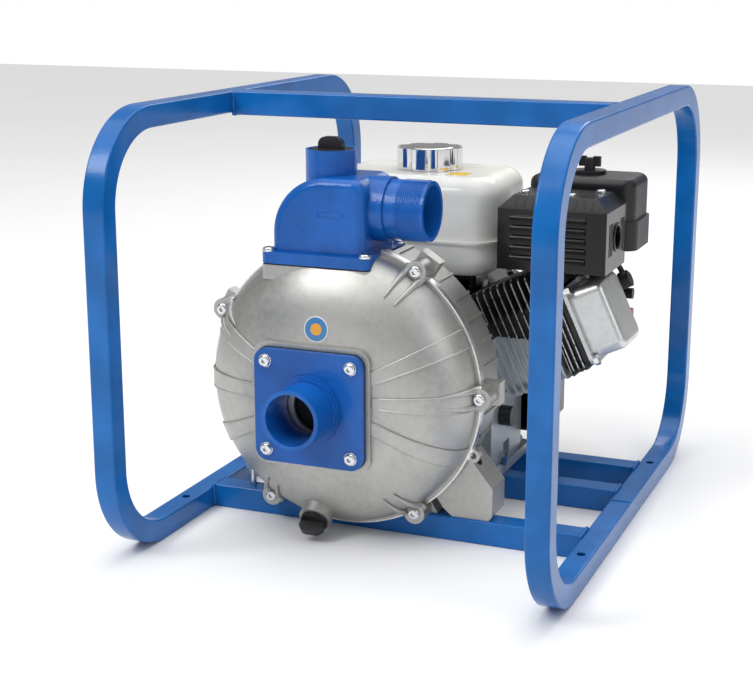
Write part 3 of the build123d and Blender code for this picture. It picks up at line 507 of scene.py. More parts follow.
class Maker:
    """Builds node trees once and turns their results into plain meshes."""

    def __init__(self, paints: Paints) -> None:
        """Keep the paints for the trees' Set Material nodes."""
        self.paints = paints
        self.trees: dict[Recipe, bpy.types.NodeTree] = {}

    def tree(self, recipe: Recipe) -> bpy.types.NodeTree:
        """Node tree of a recipe."""
        if recipe not in self.trees:
            builders = {Recipe.STEPS: self.steps_tree, Recipe.BEADS: self.beads_tree,
                        Recipe.SWEEP: self.sweep_tree}
            self.trees[recipe] = builders[recipe](recipe.value)
        return self.trees[recipe]

    def start(self, name: str, sizes: dict[str, tuple[str, Any]]) -> tuple[Any, Any]:
        """Open a tree with a geometry input, the named sizes and a material.

        Args:
            name: Name of the tree.
            sizes: Socket type and first value of each input.

        Returns:
            The tree and its input node.
        """
        tree = bpy.data.node_groups.new(name, "GeometryNodeTree")
        face = tree.interface
        face.new_socket(name="Geometry", in_out="INPUT", socket_type="NodeSocketGeometry")
        for label, (kind, first) in sizes.items():
            made = face.new_socket(name=label, in_out="INPUT", socket_type=kind)
            made.default_value = first
        face.new_socket(name="Material", in_out="INPUT", socket_type="NodeSocketMaterial")
        face.new_socket(name="Geometry", in_out="OUTPUT", socket_type="NodeSocketGeometry")
        return tree, tree.nodes.new("NodeGroupInput")

    def add(self, tree: Any, kind: str, settings: dict[str, Any], values: dict[Any, Any]) -> Any:
        """Add a node to a geometry tree; values are numbers or output sockets."""
        made = tree.nodes.new(kind)
        for key, value in settings.items():
            setattr(made, key, value)
        for key, value in values.items():
            if isinstance(value, bpy.types.NodeSocket):
                tree.links.new(value, made.inputs[key])
            else:
                made.inputs[key].default_value = value
        return made

    def close(self, tree: Any, given: Any, shape: Any) -> None:
        """End a tree in Realize Instances and Set Material."""
        real = self.add(tree, "GeometryNodeRealizeInstances", {}, {0: shape})
        values = {"Geometry": real.outputs[0], "Material": given.outputs["Material"]}
        dressed = self.add(tree, "GeometryNodeSetMaterial", {}, values)
        self.add(tree, "NodeGroupOutput", {}, {0: dressed.outputs[0]})

    def steps_tree(self, name: str) -> Any:
        """The object's own mesh, repeated with one move and one turn for each step."""
        sizes = {"Count": ("NodeSocketInt", 1), "Centre": ("NodeSocketVector", (0.0, 0.0, 0.0)),
                 "Move": ("NodeSocketVector", (0.0, 0.0, 0.0)), "Turn": ("NodeSocketVector", (0.0, 0.0, 0.0))}
        tree, given = self.start(name, sizes)
        out = given.outputs
        line = self.add(tree, "GeometryNodeMeshLine", {"mode": "OFFSET"},
                        {"Count": out["Count"], "Start Location": out["Centre"], "Offset": out["Move"]})
        index = self.add(tree, "GeometryNodeInputIndex", {}, {})
        turn = self.add(tree, "ShaderNodeVectorMath", {"operation": "SCALE"},
                        {0: out["Turn"], "Scale": index.outputs[0]})
        spin = self.add(tree, "FunctionNodeEulerToRotation", {}, {0: turn.outputs[0]})
        values = {"Points": line.outputs[0], "Instance": out["Geometry"], "Rotation": spin.outputs[0]}
        placed = self.add(tree, "GeometryNodeInstanceOnPoints", {}, values)
        self.close(tree, given, placed.outputs[0])
        return tree

    def beads_tree(self, name: str) -> Any:
        """Overlapping flattened drops along a path, as a hand weld leaves them."""
        sizes = {"Radius": ("NodeSocketFloat", 0.002), "Spacing": ("NodeSocketFloat", 0.0015),
                 "Seed": ("NodeSocketInt", 7)}
        tree, given = self.start(name, sizes)
        out = given.outputs
        curve = self.add(tree, "GeometryNodeMeshToCurve", {}, {0: out["Geometry"]})
        cut = self.add(tree, "GeometryNodeResampleCurve", {"mode": "LENGTH"},
                       {"Curve": curve.outputs[0], "Length": out["Spacing"]})
        drop = self.add(tree, "GeometryNodeMeshUVSphere", {},
                        {"Segments": 8, "Rings": 6, "Radius": out["Radius"]})
        smooth = self.add(tree, "GeometryNodeSetShadeSmooth", {}, {0: drop.outputs[0]})
        size = self.add(tree, "FunctionNodeRandomValue", {"data_type": "FLOAT"}, {"Seed": out["Seed"]})
        smallest, largest = size.inputs[2], size.inputs[3]
        smallest.default_value, largest.default_value = 0.82, 1.1
        placed = self.add(tree, "GeometryNodeInstanceOnPoints", {},
                          {"Points": cut.outputs[0], "Instance": smooth.outputs[0], "Scale": size.outputs[1]})
        self.close(tree, given, placed.outputs[0])
        return tree

    def sweep_tree(self, name: str) -> Any:
        """Round bar along a path, closed at its ends."""
        sizes = {"Radius": ("NodeSocketFloat", 0.001), "Sides": ("NodeSocketInt", 8)}
        tree, given = self.start(name, sizes)
        out = given.outputs
        curve = self.add(tree, "GeometryNodeMeshToCurve", {}, {0: out["Geometry"]})
        circle = self.add(tree, "GeometryNodeCurvePrimitiveCircle", {"mode": "RADIUS"},
                          {"Resolution": out["Sides"], "Radius": out["Radius"]})
        bar = self.add(tree, "GeometryNodeCurveToMesh", {},
                       {"Curve": curve.outputs[0], "Profile Curve": circle.outputs[0], "Fill Caps": True})
        smooth = self.add(tree, "GeometryNodeSetShadeSmooth", {}, {0: bar.outputs[0]})
        self.close(tree, given, smooth.outputs[0])
        return tree

    def run(self, name: str, source: bpy.types.Mesh, recipe: Recipe, finish: Finish, **sizes: Any) -> Any:
        """Run a recipe on a mesh.

        Args:
            name: Name of the piece.
            source: Shape or path that the tree starts from.
            recipe: Which tree.
            finish: Finish of the result.
            sizes: Values of the tree's named inputs.

        Returns:
            The piece, as a plain mesh object at the origin.
        """
        holder = bpy.data.objects.new(name + "_source", source)
        bpy.context.scene.collection.objects.link(holder)
        modifier = holder.modifiers.new(recipe.value, "NODES")
        modifier.node_group = self.tree(recipe)
        sizes["Material"] = self.paints.get(finish)
        for item in modifier.node_group.interface.items_tree:
            if item.in_out == "INPUT" and item.name in sizes:
                modifier[item.identifier] = sizes[item.name]
        seen = holder.evaluated_get(bpy.context.evaluated_depsgraph_get())
        mesh = bpy.data.meshes.new_from_object(seen)
        bpy.data.objects.remove(holder)
        return piece(name, mesh, None)


# ------------------------------------------------------------------ meshes
def piece(name: str, mesh: bpy.types.Mesh, material: bpy.types.Material | None) -> bpy.types.Object:
    """Object at the origin for a mesh; a material given replaces the mesh's own."""
    mesh.name = name
    if material is not None:
        mesh.materials.clear()
        mesh.materials.append(material)
    made = bpy.data.objects.new(name, mesh)
    bpy.context.scene.collection.objects.link(made)
    return made


def finish_mesh(name: str, shape: Shape, smooth: float = 40.0) -> bpy.types.Mesh:
    """Turn a bmesh into a mesh with merged doubles, outward faces and smooth soft edges.

    Args:
        name: Name of the mesh.
        shape: The bmesh, which is freed.
        smooth: Edges flatter than this many degrees are shaded smooth.

    Returns:
        The mesh.
    """
    bmesh.ops.remove_doubles(shape, verts=shape.verts, dist=1e-7)
    bmesh.ops.recalc_face_normals(shape, faces=shape.faces)
    for face in shape.faces:
        face.smooth = True
    for edge in shape.edges:
        edge.smooth = len(edge.link_faces) != 2 or edge.calc_face_angle(0.0) < math.radians(smooth)
    mesh = bpy.data.meshes.new(name)
    shape.to_mesh(mesh)
    shape.free()
    return mesh


def metres(*values: float) -> tuple[float, ...]:
    """Millimetres as metres."""
    return tuple(v * MM for v in values)


def ring(radius: float, height: float, sides: int, place: Matrix) -> list[Vector]:
    """Points evenly round the placed Z axis, at one radius and height."""
    turns = [2 * math.pi * k / sides for k in range(sides)]
    return [place @ Vector((radius * math.cos(a), radius * math.sin(a), height)) for a in turns]


def paths_mesh(name: str, paths: Sequence[Sequence[Point]]) -> bpy.types.Mesh:
    """Mesh of edges only, for a node tree to follow; a path that ends where it starts is closed."""
    mesh = bpy.data.meshes.new(name)
    points: list[Vector] = []
    edges: list[tuple[int, int]] = []
    for path in paths:
        first = len(points)
        count = len(path) - 1
        closed = path[0] == path[-1]
        points += [Vector(p) for p in (path[:-1] if closed else path)]
        edges += [(first + k, first + (k + 1) % count if closed else first + k + 1) for k in range(count)]
    mesh.from_pydata(points, edges, [])
    return mesh


def lathe(shape: Shape, profile: Sequence[tuple[float, float]], place: Matrix, sides: int) -> None:
    """Add a closed turned solid.

    Args:
        shape: The bmesh to add to.
        profile: (radius, height) pairs; a radius of 0 closes the pole, and otherwise the profile is a loop.
        place: Where the turned Z axis goes.
        sides: Divisions round the axis.
    """
    rings: list[list[bmesh.types.BMVert]] = []
    for radius, height in profile:
        if radius == 0:
            rings.append([shape.verts.new(place @ Vector((0, 0, height)))] * sides)
            continue
        rings.append([shape.verts.new(spot) for spot in ring(radius, height, sides, place)])
    loops = list(zip(rings, rings[1:]))
    if profile[0][0] and profile[-1][0]:
        loops.append((rings[-1], rings[0]))
    for low, high in loops:
        for k in range(sides):
            corners = [low[k], low[(k + 1) % sides], high[(k + 1) % sides], high[k]]
            unique = list(dict.fromkeys(corners))
            if len(unique) > 2:
                shape.faces.new(unique)


def tapered_rod(shape: Shape, points: Sequence[Point], radii: Sequence[float], sides: int) -> None:
    """Add a closed rod whose thickness changes along a path.

    Args:
        shape: The bmesh to add to.
        points: The path's points.
        radii: Half the thickness at each point.
        sides: Divisions round the rod.
    """
    spots = [Vector(p) for p in points]
    rings = []
    for k, (spot, radius) in enumerate(zip(spots, radii)):
        ahead = spots[min(k + 1, len(spots) - 1)] - spots[max(k - 1, 0)]
        place = Matrix.Translation(spot) @ ahead.to_track_quat("Z", "Y").to_matrix().to_4x4()
        rings.append([shape.verts.new(at) for at in ring(radius, 0.0, sides, place)])
    for low, high in zip(rings, rings[1:]):
        for j in range(sides):
            shape.faces.new((low[j], low[(j + 1) % sides], high[(j + 1) % sides], high[j]))
    shape.faces.new(rings[0][::-1])
    shape.faces.new(rings[-1])


def prism(shape: Shape, outline: Sequence[Point], rise: Point, place: Matrix | None = None) -> None:
    """Add a closed solid that sweeps a flat outline along rise.

    Args:
        shape: The bmesh to add to.
        outline: Corners of the flat face, in order.
        rise: Vector from the first face to the last.
        place: Optional placing of both.
    """
    place = place or Matrix.Identity(4)
    low = [shape.verts.new(place @ Vector(p)) for p in outline]
    high = [shape.verts.new(place @ (Vector(p) + Vector(rise))) for p in outline]
    shape.faces.new(low)
    shape.faces.new(high[::-1])
    for k in range(len(low)):
        j = (k + 1) % len(low)
        shape.faces.new((low[k], high[k], high[j], low[j]))


def soft_box(name: str, low: Point, high: Point, radius: float, place: Matrix | None = None) -> bpy.types.Mesh:
    """Box with rounded edges.

    Args:
        name: Name of the mesh.
        low: Lowest corner.
        high: Highest corner.
        radius: Edge radius.
        place: Optional placing.

    Returns:
        The mesh.
    """
    shape = bmesh.new()
    floor = low[2]
    outline = [(low[0], low[1], floor), (high[0], low[1], floor), (high[0], high[1], floor),
               (low[0], high[1], floor)]
    prism(shape, outline, (0, 0, high[2] - floor))
    bmesh.ops.bevel(shape, geom=shape.edges[:], offset=radius, segments=4, profile=0.5, affect="EDGES")
    if place is not None:
        shape.transform(place)
    return finish_mesh(name, shape, 60.0)


def facing(centre: Point, axis: Point) -> Matrix:
    """Placing that puts the local Z axis along axis, at centre."""
    turn = Vector((0, 0, 1)).rotation_difference(Vector(axis)).to_matrix().to_4x4()
    return Matrix.Translation(Vector(centre)) @ turn


def settle(made: bpy.types.Object, body: str) -> bpy.types.Object:
    """Ride a finished piece on its body and report it."""
    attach(made, body)
    log.info("piece %s on %s, %d faces", made.name, body, len(made.data.polygons))
    return made


# ------------------------------------------------------------------ sub-assemblies
@dataclass
class Assembly:
    """What every sub-assembly works with: the finishes and the node trees."""

    paints: Paints
    maker: Maker

    def add(self, name: str, mesh: bpy.types.Mesh, finish: Finish, body: str = ROOT) -> None:
        """Make a mesh a piece of the finish, on its body."""
        settle(piece(name, mesh, self.paints.get(finish)), body)

    def grow(self, name: str, source: bpy.types.Mesh, recipe: Recipe, finish: Finish, **sizes: Any) -> None:
        """Run a recipe and make the result a fixed piece of the finish."""
        settle(self.maker.run(name, source, recipe, finish, **sizes), ROOT)


@dataclass
class Cage(Assembly):
    """Roll cage: hand-laid weld beads where the bars meet the hoops, and a joint across one rail."""

    inner_x: float = 205.2 * MM
    reach: float = 12.9 * MM
    floor_bars: Sequence[float] = metres(-96.3, 46.0, 131.0)
    floor_z: Sequence[float] = metres(2.5, 24.2)
    top_bar: float = -31.0 * MM
    top_z: Sequence[float] = metres(442.5, 420.6)
    bead: float = 2.3 * MM
    joint_y: float = 11.0 * MM
    joint_path: Sequence[tuple[float, float]] = ((205.4, 3.0), (205.4, 21.0), (207.0, 22.9), (226.8, 22.9))

    def saddle(self, x: float, y: float, ends: Sequence[float]) -> list[Point]:
        """Weld path round three sides of a bar's end."""
        start, top = ends
        near, far = y - self.reach, y + self.reach
        return [(x, near, start), (x, near, top), (x, far, top), (x, far, start)]

    def build(self) -> None:
        """Lay the beads."""
        paths = []
        for side in SQUARE:
            paths += [self.saddle(side * self.inner_x, y, self.floor_z) for y in self.floor_bars]
            paths.append(self.saddle(side * self.inner_x, self.top_bar, self.top_z))
        self.grow("weld_beads", paths_mesh("weld_paths", paths), Recipe.BEADS, Finish.FRAME,
                  Radius=self.bead, Spacing=1.9 * MM, Seed=11)
        over = [(x * MM, self.joint_y, z * MM) for x, z in self.joint_path]
        self.grow("rail_joint_weld", paths_mesh("rail_joint_path", [over]), Recipe.BEADS, Finish.FRAME,
                  Radius=1.6 * MM, Spacing=1.3 * MM, Seed=5)


@dataclass
class Casing(Assembly):
    """Domed pump casing: rounded edges on its raised bands, and ribs that carry the bolt lugs."""

    centre: Sequence[float] = metres(-46.0, 157.0)
    flat_r: float = 60.0 * MM
    side_r: float = 145.6 * MM
    front_y: float = -173.6 * MM
    start_y: float = -118.0 * MM
    bands: Sequence[float] = (-25.0, 0.0, 25.0, 155.0, 180.0, 205.0)
    band_half: tuple[float, float] = (5.3, 9.8)
    band_run: tuple[float, float] = (55.0, 149.0)
    edge_reach: range = range(61, 146, 4)
    edge_sink: float = 0.5 * MM
    lugs: Sequence[float] = (57.0, 1.0, -57.0, -122.0, 152.0)
    lug_face: float = -127.0 * MM
    rib_steps: int = 14
    rib_sides: int = 14

    def dome_y(self, radius: float) -> float:
        """Depth of the bands' outer surface at a distance from the casing's axis."""
        if radius <= self.flat_r:
            return self.front_y
        share = min(1.0, (radius - self.flat_r) / (self.side_r - self.flat_r))
        return self.start_y - (self.start_y - self.front_y) * math.sqrt(1 - share * share)

    def on_dome(self, along: float, across: float, angle: float, sink: float) -> Point:
        """Point on the dome.

        Args:
            along: Distance from the axis along the direction of angle.
            across: Distance to the side of that direction.
            angle: Direction in degrees from +X towards +Z.
            sink: Depth below the surface.

        Returns:
            The point.
        """
        cos, sin = math.cos(math.radians(angle)), math.sin(math.radians(angle))
        y = self.dome_y(math.hypot(along, across)) + sink
        return (self.centre[0] + along * cos - across * sin, y, self.centre[1] + along * sin + across * cos)

    def band_edge(self, angle: float, side: int) -> list[Point]:
        """One long edge of a band, which widens outwards."""
        narrow, wide = self.band_half
        start, end = self.band_run
        edge = []
        for reach in self.edge_reach:
            half = narrow + (wide - narrow) * (reach - start) / (end - start)
            edge.append(self.on_dome(reach * MM, side * half * MM, angle, self.edge_sink))
        return edge

    def build(self) -> None:
        """Lay the rounded edges and the ribs."""
        edges = [self.band_edge(angle, side) for angle in self.bands for side in SQUARE]
        self.grow("casing_band_edges", paths_mesh("band_paths", edges), Recipe.SWEEP, Finish.CASING,
                  Radius=1.0 * MM, Sides=10)
        shape = bmesh.new()
        for angle in self.lugs:
            for side in SQUARE:
                self.lug_rib(shape, angle, side)
        self.add("lug_ribs", finish_mesh("lug_ribs", shape, 60.0), Finish.CASING)

    def lug_rib(self, shape: Shape, angle: float, side: int) -> None:
        """Tapered rib that runs from the dome to one flank of a lug.

        Args:
            shape: The bmesh to add to.
            angle: The lug's direction in degrees.
            side: Which flank, -1 or 1.
        """
        points = []
        radii = []
        for k in range(self.rib_steps + 1):
            share = k / self.rib_steps
            along, across, radius = metres(120 + 31 * share, side * (6.5 + 2.5 * share), 0.6 + 4.2 * share)
            x, y, z = self.on_dome(along, across, angle, 0.35 * radius)
            points.append((x, min(y, self.lug_face + radius), z))
            radii.append(radius)
        tapered_rod(shape, points, radii, self.rib_sides)


@dataclass
class Fittings(Assembly):
    """Suction plate and discharge elbow: pipe thread, cast flow arrow, and a painted highlight on the flap's
    seat.
    """

    spigot: Sequence[float] = metres(-98.0, 338.5)
    pipe_r: float = 30.15
    thread_from: float = 13.5 * MM
    pitch: float = 2.21 * MM
    turns: int = 12
    arrow_at: Sequence[float] = metres(-48.0, 336.0)
    arrow_outline: Sequence[tuple[float, float]] = ((-17, -2), (5, -2), (5, -5.5), (14, 0), (5, 5.5), (5, 2),
                                                    (-17, 2))
    housing_face: float = -141.0 * MM
    suction: Sequence[float] = metres(-56.5, 147.0)
    seat_r: float = 26.4 * MM
    seat_y: Sequence[float] = metres(-175.0, -171.0)
    seat_thick: Sequence[float] = metres(6.5, 0.3)
    seat_turn: tuple[float, float] = (0.42, 1.16)
    seat_steps: int = 40

    def thread(self) -> None:
        """Pipe thread on the discharge spigot."""
        shape = bmesh.new()
        crest = [(-0.7, -0.9), (0.1, -0.8), (0.75, 0.0), (0.1, 0.8), (-0.7, 0.9)]
        loop = [metres(self.pipe_r + rise, along) for rise, along in crest]
        lathe(shape, loop, facing((0, 0, 0), (1, 0, 0)), 96)
        self.grow("discharge_thread", finish_mesh("thread_turn", shape, 30.0), Recipe.STEPS, Finish.FITTING,
                  Count=self.turns, Centre=(self.thread_from, *self.spigot), Move=(self.pitch, 0.0, 0.0))

    def arrow(self) -> None:
        """Cast arrow that shows the direction of flow."""
        x, z = self.arrow_at
        back = self.housing_face + 0.6 * MM
        shape = bmesh.new()
        prism(shape, [(x + a * MM, back, z + b * MM) for a, b in self.arrow_outline], metres(0, -1.4, 0))
        bmesh.ops.bevel(shape, geom=shape.edges[:], offset=0.5 * MM, segments=3, profile=0.5, affect="EDGES")
        self.add("cast_flow_arrow", finish_mesh("arrow", shape), Finish.FITTING)

    def flap_seat(self) -> None:
        """Painted highlight on the flap's seat, seen through the suction bore: a bright pale crescent that
        stands in for the seat's lit part.
        """
        shape = bmesh.new()
        x, z = self.suction
        low, high = self.seat_y
        start, span = self.seat_turn
        middle, ends = self.seat_thick
        outer = self.seat_r
        rings = []
        for k in range(self.seat_steps + 1):
            share = k / self.seat_steps
            turn = math.pi * (start + span * share)
            inner = outer - middle * math.sin(math.pi * share) - ends
            rings.append([shape.verts.new((x + r * math.cos(turn), y, z + r * math.sin(turn)))
                          for r, y in ((outer, low), (inner, low), (inner, high), (outer, high))])
        for first, second in zip(rings, rings[1:]):
            for k in range(4):
                shape.faces.new((first[k], first[(k + 1) % 4], second[(k + 1) % 4], second[k]))
        shape.faces.new(rings[0])
        shape.faces.new(rings[-1][::-1])
        # the seat is real metal, but this bright crescent of it is a painted highlight
        self.add("flap_seat", finish_mesh("flap_seat", shape), Finish.ROCKER)

    def build(self) -> None:
        """Make every fitting detail."""
        self.thread()
        self.arrow()
        self.flap_seat()


@dataclass
class Washers(Assembly):
    """Flat washers under the screws of the suction plate and of the discharge neck."""

    inner: float = 3.4
    outer: float = 6.9
    thick: float = 1.1
    plate: Point = (-56.5, -184.0, 147.0)
    plate_half: float = 46.0
    neck: Point = (-64.0, -98.0, 296.0)
    neck_half: tuple[float, float] = (52.5, 45.5)

    def build(self) -> None:
        """Turn all the washers into one piece."""
        shape = bmesh.new()
        x, y, z = self.plate
        for sx in SQUARE:
            for sz in SQUARE:
                self.washer(shape, (x + sx * self.plate_half, y, z + sz * self.plate_half), (0, -1, 0))
        x, y, z = self.neck
        for sx, sy in ((-1, -1), (1, -1), (1, 1), (-1, 1)):
            self.washer(shape, (x + sx * self.neck_half[0], y + sy * self.neck_half[1], z), (0, 0, 1))
        self.add("flat_washers", finish_mesh("washers", shape), Finish.ZINC)

    def washer(self, shape: Shape, at: Point, axis: Point) -> None:
        """Turn one washer at a place in millimetres."""
        edge = 0.3
        loop = [(self.inner, -0.1), (self.outer, -0.1), (self.outer, self.thick - edge),
                (self.outer - edge, self.thick), (self.inner, self.thick)]
        lathe(shape, [metres(*spot) for spot in loop], facing(metres(*at), axis), 32)


@dataclass
class Tank(Assembly):
    """Fuel tank: a plain label by the filler, and the pressed top of the cap."""

    cap_at: Sequence[float] = metres(-34.0, 98.0)
    cap_top: float = 378.0 * MM
    cap_profile: Sequence[tuple[float, float]] = ((0, 1.7), (10, 1.55), (20, 1.1), (25, 0.7), (27, 0.25),
                                                  (27.5, -0.4), (27.5, -1.5), (0, -1.5))
    label_low: Point = metres(2.0, 52.0, 353.6)
    label_high: Point = metres(24.0, 76.0, 354.25)

    def cap(self) -> None:
        """Pressed rings on the cap's top."""
        shape = bmesh.new()
        place = Matrix.Translation((*self.cap_at, self.cap_top))
        lathe(shape, [metres(*spot) for spot in self.cap_profile], place, 72)
        self.add("cap_pressed_top", finish_mesh("cap_top", shape, 50.0), Finish.CHROME, "fuel_cap")

    def label(self) -> None:
        """Plain yellow sticker on the tank's shoulder, with nothing printed on it."""
        mesh = soft_box("label", self.label_low, self.label_high, 0.25 * MM)
        sticker = GlossPaint("plain_yellow_sticker", colour(0.80, 0.52, 0.04), 0.004, 0.00001, 0.3)
        settle(piece("tank_label", mesh, sticker.material()), ROOT)

    def build(self) -> None:
        """Make the cap's details and the label."""
        self.cap()
        self.label()


@dataclass
class Guard(Assembly):
    """Stamped muffler guard: pressed louvres, painted shade for the slits on its shoulder and end, and a ring
    round its outlet.
    """

    x: Sequence[float] = metres(92.0, 172.0)
    hood: Sequence[tuple[float, float]] = ((0.6, 6.6), (-0.4, 6.2), (-2.0, 4.6), (-2.8, 2.6), (-3.0, 0.4),
                                           (-3.0, -0.6), (-2.0, -0.6), (-1.8, 1.6), (-1.2, 3.4), (0.6, 4.6))
    first_z: float = 276.0 * MM
    pitch: float = 10.5 * MM
    end_x: float = 194.0 * MM
    outlet_at: Sequence[float] = metres(44.0, 300.0)
    roll: Sequence[tuple[float, float]] = ((12.0, -1.5), (12.0, 0.8), (12.8, 1.7), (14.0, 1.9), (15.2, 1.2),
                                           (15.6, -0.2), (15.0, -1.5))

    def louvres(self) -> None:
        """Five hooded louvres pressed out above the slots."""
        shape = bmesh.new()
        left, right = self.x
        prism(shape, [(left, *metres(y, z)) for y, z in self.hood], (right - left, 0, 0))
        self.grow("guard_louvres", finish_mesh("louvre", shape, 50.0), Recipe.STEPS, Finish.GUARD,
                  Count=5, Centre=(0.0, 0.0, self.first_z), Move=(0.0, 0.0, self.pitch))

    def slit_shades(self) -> None:
        """Painted shade: dark matte bars that stand in for the shade inside the slits along the front shoulder
        and on the end face.
        """
        tilt = Matrix.Rotation(math.radians(45), 4, "X")
        # painted shade: a dark matte bar in the dark rubber finish stands for the shade inside each shoulder
        # slit
        source = soft_box("slit", metres(-1.3, -6.5, -0.4), metres(1.3, 6.5, 0.35), 0.3 * MM, tilt)
        self.grow("guard_shoulder_slits", source, Recipe.STEPS, Finish.RUBBER,
                  Count=10, Centre=metres(96.0, 6.4, 336.4), Move=metres(9.0, 0.0, 0.0))
        for name, y in (("guard_end_slits_front", 14.0), ("guard_end_slits_back", 62.0)):
            # painted shade: dark matte bars stand for the shade inside each slit on the end face
            source = soft_box("end_slit", metres(-0.4, -1.4, -17.0), metres(0.35, 1.4, 17.0), 0.3 * MM)
            self.grow(name, source, Recipe.STEPS, Finish.RUBBER, Count=3,
                      Centre=(self.end_x, y * MM, self.outlet_at[1]), Move=metres(0.0, 6.0, 0.0))

    def outlet(self) -> None:
        """Rolled ring round the exhaust outlet."""
        shape = bmesh.new()
        place = facing((self.end_x, *self.outlet_at), (1, 0, 0))
        lathe(shape, [metres(*spot) for spot in self.roll], place, 48)
        self.add("outlet_ring", finish_mesh("outlet_ring", shape), Finish.GUARD)

    def build(self) -> None:
        """Make the louvres, the slits and the outlet."""
        self.louvres()
        self.slit_shades()
        self.outlet()


@dataclass
class AirCleaner(Assembly):
    """Air cleaner: a lip round its joint, and moulded ribs on its front."""

    x: Sequence[float] = metres(82.0, 200.0)
    y: Sequence[float] = metres(92.0, 168.0)
    joint_z: float = 306.5 * MM
    corner: float = 15.0 * MM
    corner_steps: int = 6
    proud: float = 0.4 * MM
    ribs: int = 9
    first_rib: Point = metres(101.0, 90.9, 291.0)

    def outline(self) -> list[Point]:
        """Closed rounded rectangle round the housing at the joint's height."""
        points = []
        inset, reach = self.corner, self.corner + self.proud
        left, right = self.x[0] + inset, self.x[1] - inset
        front, back = self.y[0] + inset, self.y[1] - inset
        for cx, cy, start in ((right, back, 0), (left, back, 90), (left, front, 180), (right, front, 270)):
            for k in range(self.corner_steps + 1):
                turn = math.radians(start + 90 / self.corner_steps * k)
                points.append((cx + reach * math.cos(turn), cy + reach * math.sin(turn), self.joint_z))
        return points + points[:1]

    def build(self) -> None:
        """Make the lip and the ribs."""
        self.grow("cleaner_joint_lip", paths_mesh("lip_path", [self.outline()]), Recipe.SWEEP, Finish.PLASTIC,
                  Radius=1.5 * MM, Sides=10)
        rib = soft_box("rib", metres(-1.0, -0.9, -9.0), metres(1.0, 0.9, 9.0), 0.7 * MM)
        self.grow("cleaner_front_ribs", rib, Recipe.STEPS, Finish.PLASTIC,
                  Count=self.ribs, Centre=self.first_rib, Move=metres(10.0, 0.0, 0.0))


@dataclass
class Plugs(Assembly):
    """Grip ribs on the collars of the moulded fill and drain plugs: centre, axis and radius of each."""

    fill: tuple[Point, Point, float] = ((-67.0, -98.0, 391.0), (0.0, 0.0, 1.0), 21.2)
    drain: tuple[Point, Point, float] = ((-62.0, -158.02, 21.58), (0.0, -0.81915, -0.57358), 13.4)
    count: int = 20
    lift: float = 1.2
    high: float = 3.4
    outline: Sequence[tuple[float, float]] = ((-0.8, -0.8), (0.7, -0.5), (0.7, 0.5), (-0.8, 0.8))

    def build(self) -> None:
        """Make each plug's ribs."""
        for name, (at, axis, reach) in (("fill_plug", self.fill), ("drain_plug", self.drain)):
            shape = bmesh.new()
            prism(shape, [metres(reach + x, y, self.lift) for x, y in self.outline], metres(0, 0, self.high))
            source = finish_mesh("rib", shape, 20.0)
            made = self.maker.run(name + "_grip", source, Recipe.STEPS, Finish.PLASTIC,
                                  Count=self.count, Turn=(0.0, 0.0, 2 * math.pi / self.count))
            made.data.transform(facing(metres(*at), axis))
            settle(made, name)


class Lay(Enum):
    """The two short lines on the engine: route points and half-width in millimetres, length in metres."""

    SPARK_LEAD = ("spark_plug_lead", ((188.5, 98, 252.6), (181, 98, 268.7), (132, 99, 263), (103, 101, 238),
                                      (84, 105, 196)), 3.0, 0.1444)
    FUEL_LINE = ("fuel_hose", ((50, 136, 235), (52, 136, 228.5), (80, 134, 218), (119.2, 131, 209)),
                 3.5, 0.0757)


@dataclass
class Lines:
    """Spark plug lead and fuel hose, each laid as a round tube along a spline."""

    paints: Paints

    def build(self) -> None:
        """Lay both lines."""
        for lay in Lay:
            self.line(*lay.value)

    def line(self, node: str, route: Sequence[Point], radius: float, length: float) -> None:
        """Lay one line along a smooth spline.

        Args:
            node: The CAD node that it stands for.
            route: Control points in millimetres.
            radius: Half its diameter in millimetres.
            length: Its own length in metres.
        """
        curve = bpy.data.curves.new(node + "_line", "CURVE")
        curve.dimensions = "3D"
        spline = curve.splines.new("NURBS")
        spline.points.add(len(route) - 1)
        for point, at in zip(spline.points, route):
            point.co = (*metres(*at), 1.0)
        spline.order_u = 3
        spline.use_endpoint_u = True
        spline.resolution_u = 16
        curve.bevel_depth = radius * MM
        curve.bevel_resolution = 5
        curve.use_fill_caps = True
        curve.materials.append(self.paints.get(Finish.RUBBER))
        made = bpy.data.objects.new(node + "_line", curve)
        bpy.context.scene.collection.objects.link(made)
        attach(made, ROOT)
        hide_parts(node)
        list(metres(*route[0]))
        2 * radius * MM
        log.info("line %s, %.3f m", node, length)


@dataclass
class Dressing:
    """Puts the finish of its slot on each carried-over node."""

    paints: Paints
    frame: dict[str, Any]

    def build(self) -> None:
        """Give every CAD node its material."""
        slots = {part["node"]: part["material_slot"] for part in self.frame["record"]["subparts"]}
        for name, node in self.frame["nodes"].items():
            material = self.paints.by_slot(slots[name])
            if not node.material_slots:
                node.data.materials.append(material)
            for held in node.material_slots:
                held.material = material
            log.info("node %s dressed in %s", name, material.name)


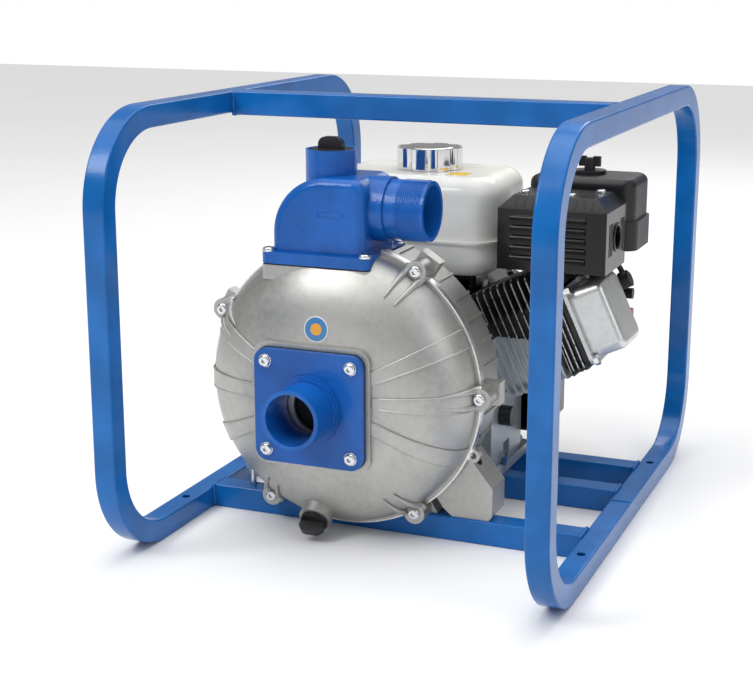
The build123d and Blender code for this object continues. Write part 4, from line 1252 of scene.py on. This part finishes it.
@dataclass
class Studio:
    """Pale floor, soft lights and the camera."""

    eye: Point = (0.5606, -1.4996, 0.5785)
    yaw: float = 22.24
    pitch: float = 13.89
    lens: float = 72.9
    shift: tuple[float, float] = (-0.0066, 0.0007)
    floor_half: float = 6.0
    floor_tones: tuple[float, float] = (0.86, 0.9)
    surround: float = 0.3
    sun: tuple[float, float] = (1.7, 80.0)
    aim: Point = (0.0, 0.0, 0.2)
    lamps: Sequence[tuple[str, Point, float, float]] = (
        ("key_light", (-1.3, -1.8, 2.2), 1.1, 34.0), ("fill_light", (2.2, -1.2, 1.3), 1.1, 9.0),
        ("back_light", (0.3, 2.2, 2.0), 1.6, 20.0), ("top_light", (0.0, 0.0, 2.6), 1.6, 8.0))

    def build(self) -> None:
        """Set up the floor, the lights and the camera."""
        self.floor()
        self.world()
        for lamp in self.lamps:
            self.lamp(*lamp)
        self.sky_lamp()
        self.camera()

    def floor(self) -> None:
        """Plain pale floor."""
        shape = bmesh.new()
        r = self.floor_half
        corners = [shape.verts.new((x, y, 0.0)) for x, y in ((-r, -r), (r, -r), (r, r), (-r, r))]
        shape.faces.new(corners)
        mesh = bpy.data.meshes.new("floor")
        shape.to_mesh(mesh)
        shape.free()
        graph = Graph("pale_floor")
        dark, light = (colour(tone, tone, tone) for tone in self.floor_tones)
        tone = graph.blend(graph.noise(0.6, 2.0), dark, light)
        graph.set(Base_Color=tone, Roughness=0.7)
        piece("studio_floor", mesh, graph.material)

    def world(self) -> None:
        """Even white surroundings."""
        world = bpy.data.worlds.new("studio_world")
        bpy.context.scene.world = world
        world.use_nodes = True
        nodes, links = world.node_tree.nodes, world.node_tree.links
        light = nodes["Background"]
        light.inputs[0].default_value = colour(1.0, 1.0, 1.0)
        ray = nodes.new("ShaderNodeLightPath")
        level = nodes.new("ShaderNodeMapRange")
        level.inputs["To Min"].default_value = self.surround
        level.inputs["To Max"].default_value = 1.0
        links.new(ray.outputs["Is Camera Ray"], level.inputs["Value"])
        links.new(level.outputs[0], light.inputs[1])
        bpy.context.scene.view_settings.view_transform = "Standard"

    def lamp(self, name: str, at: Point, size: float, power: float) -> None:
        """Soft square lamp that faces the middle of the pump."""
        light = bpy.data.lights.new(name, "AREA")
        light.energy = power
        light.size = size
        made = bpy.data.objects.new(name, light)
        bpy.context.scene.collection.objects.link(made)
        made.location = at
        made.rotation_euler = (Vector(self.aim) - Vector(at)).to_track_quat("-Z", "Y").to_euler()

    def sky_lamp(self) -> None:
        """Broad even light from above that keeps the far floor pale."""
        light = bpy.data.lights.new("sky_light", "SUN")
        light.energy = self.sun[0]
        light.angle = math.radians(self.sun[1])
        made = bpy.data.objects.new("sky_light", light)
        bpy.context.scene.collection.objects.link(made)

    def camera(self) -> None:
        """Camera at the eye, aimed by its yaw and pitch."""
        view = bpy.data.cameras.new("camera")
        view.lens = self.lens
        view.sensor_width = 36.0
        view.shift_x, view.shift_y = self.shift
        made = bpy.data.objects.new("camera", view)
        bpy.context.scene.collection.objects.link(made)
        made.location = self.eye
        made.rotation_euler = (math.radians(90 - self.pitch), 0.0, math.radians(self.yaw))
        bpy.context.scene.camera = made


def main() -> None:
    """Load the frame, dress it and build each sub-assembly."""
    logging.basicConfig(level=logging.INFO, format="%(message)s")
    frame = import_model()
    Studio().build()
    paints = Paints()
    maker = Maker(paints)
    Dressing(paints, frame).build()
    Lines(paints).build()
    for assembly in (Cage, Casing, Fittings, Tank, Guard, AirCleaner, Plugs, Washers):
        assembly(paints, maker).build()


if __name__ == "__main__":
    main()
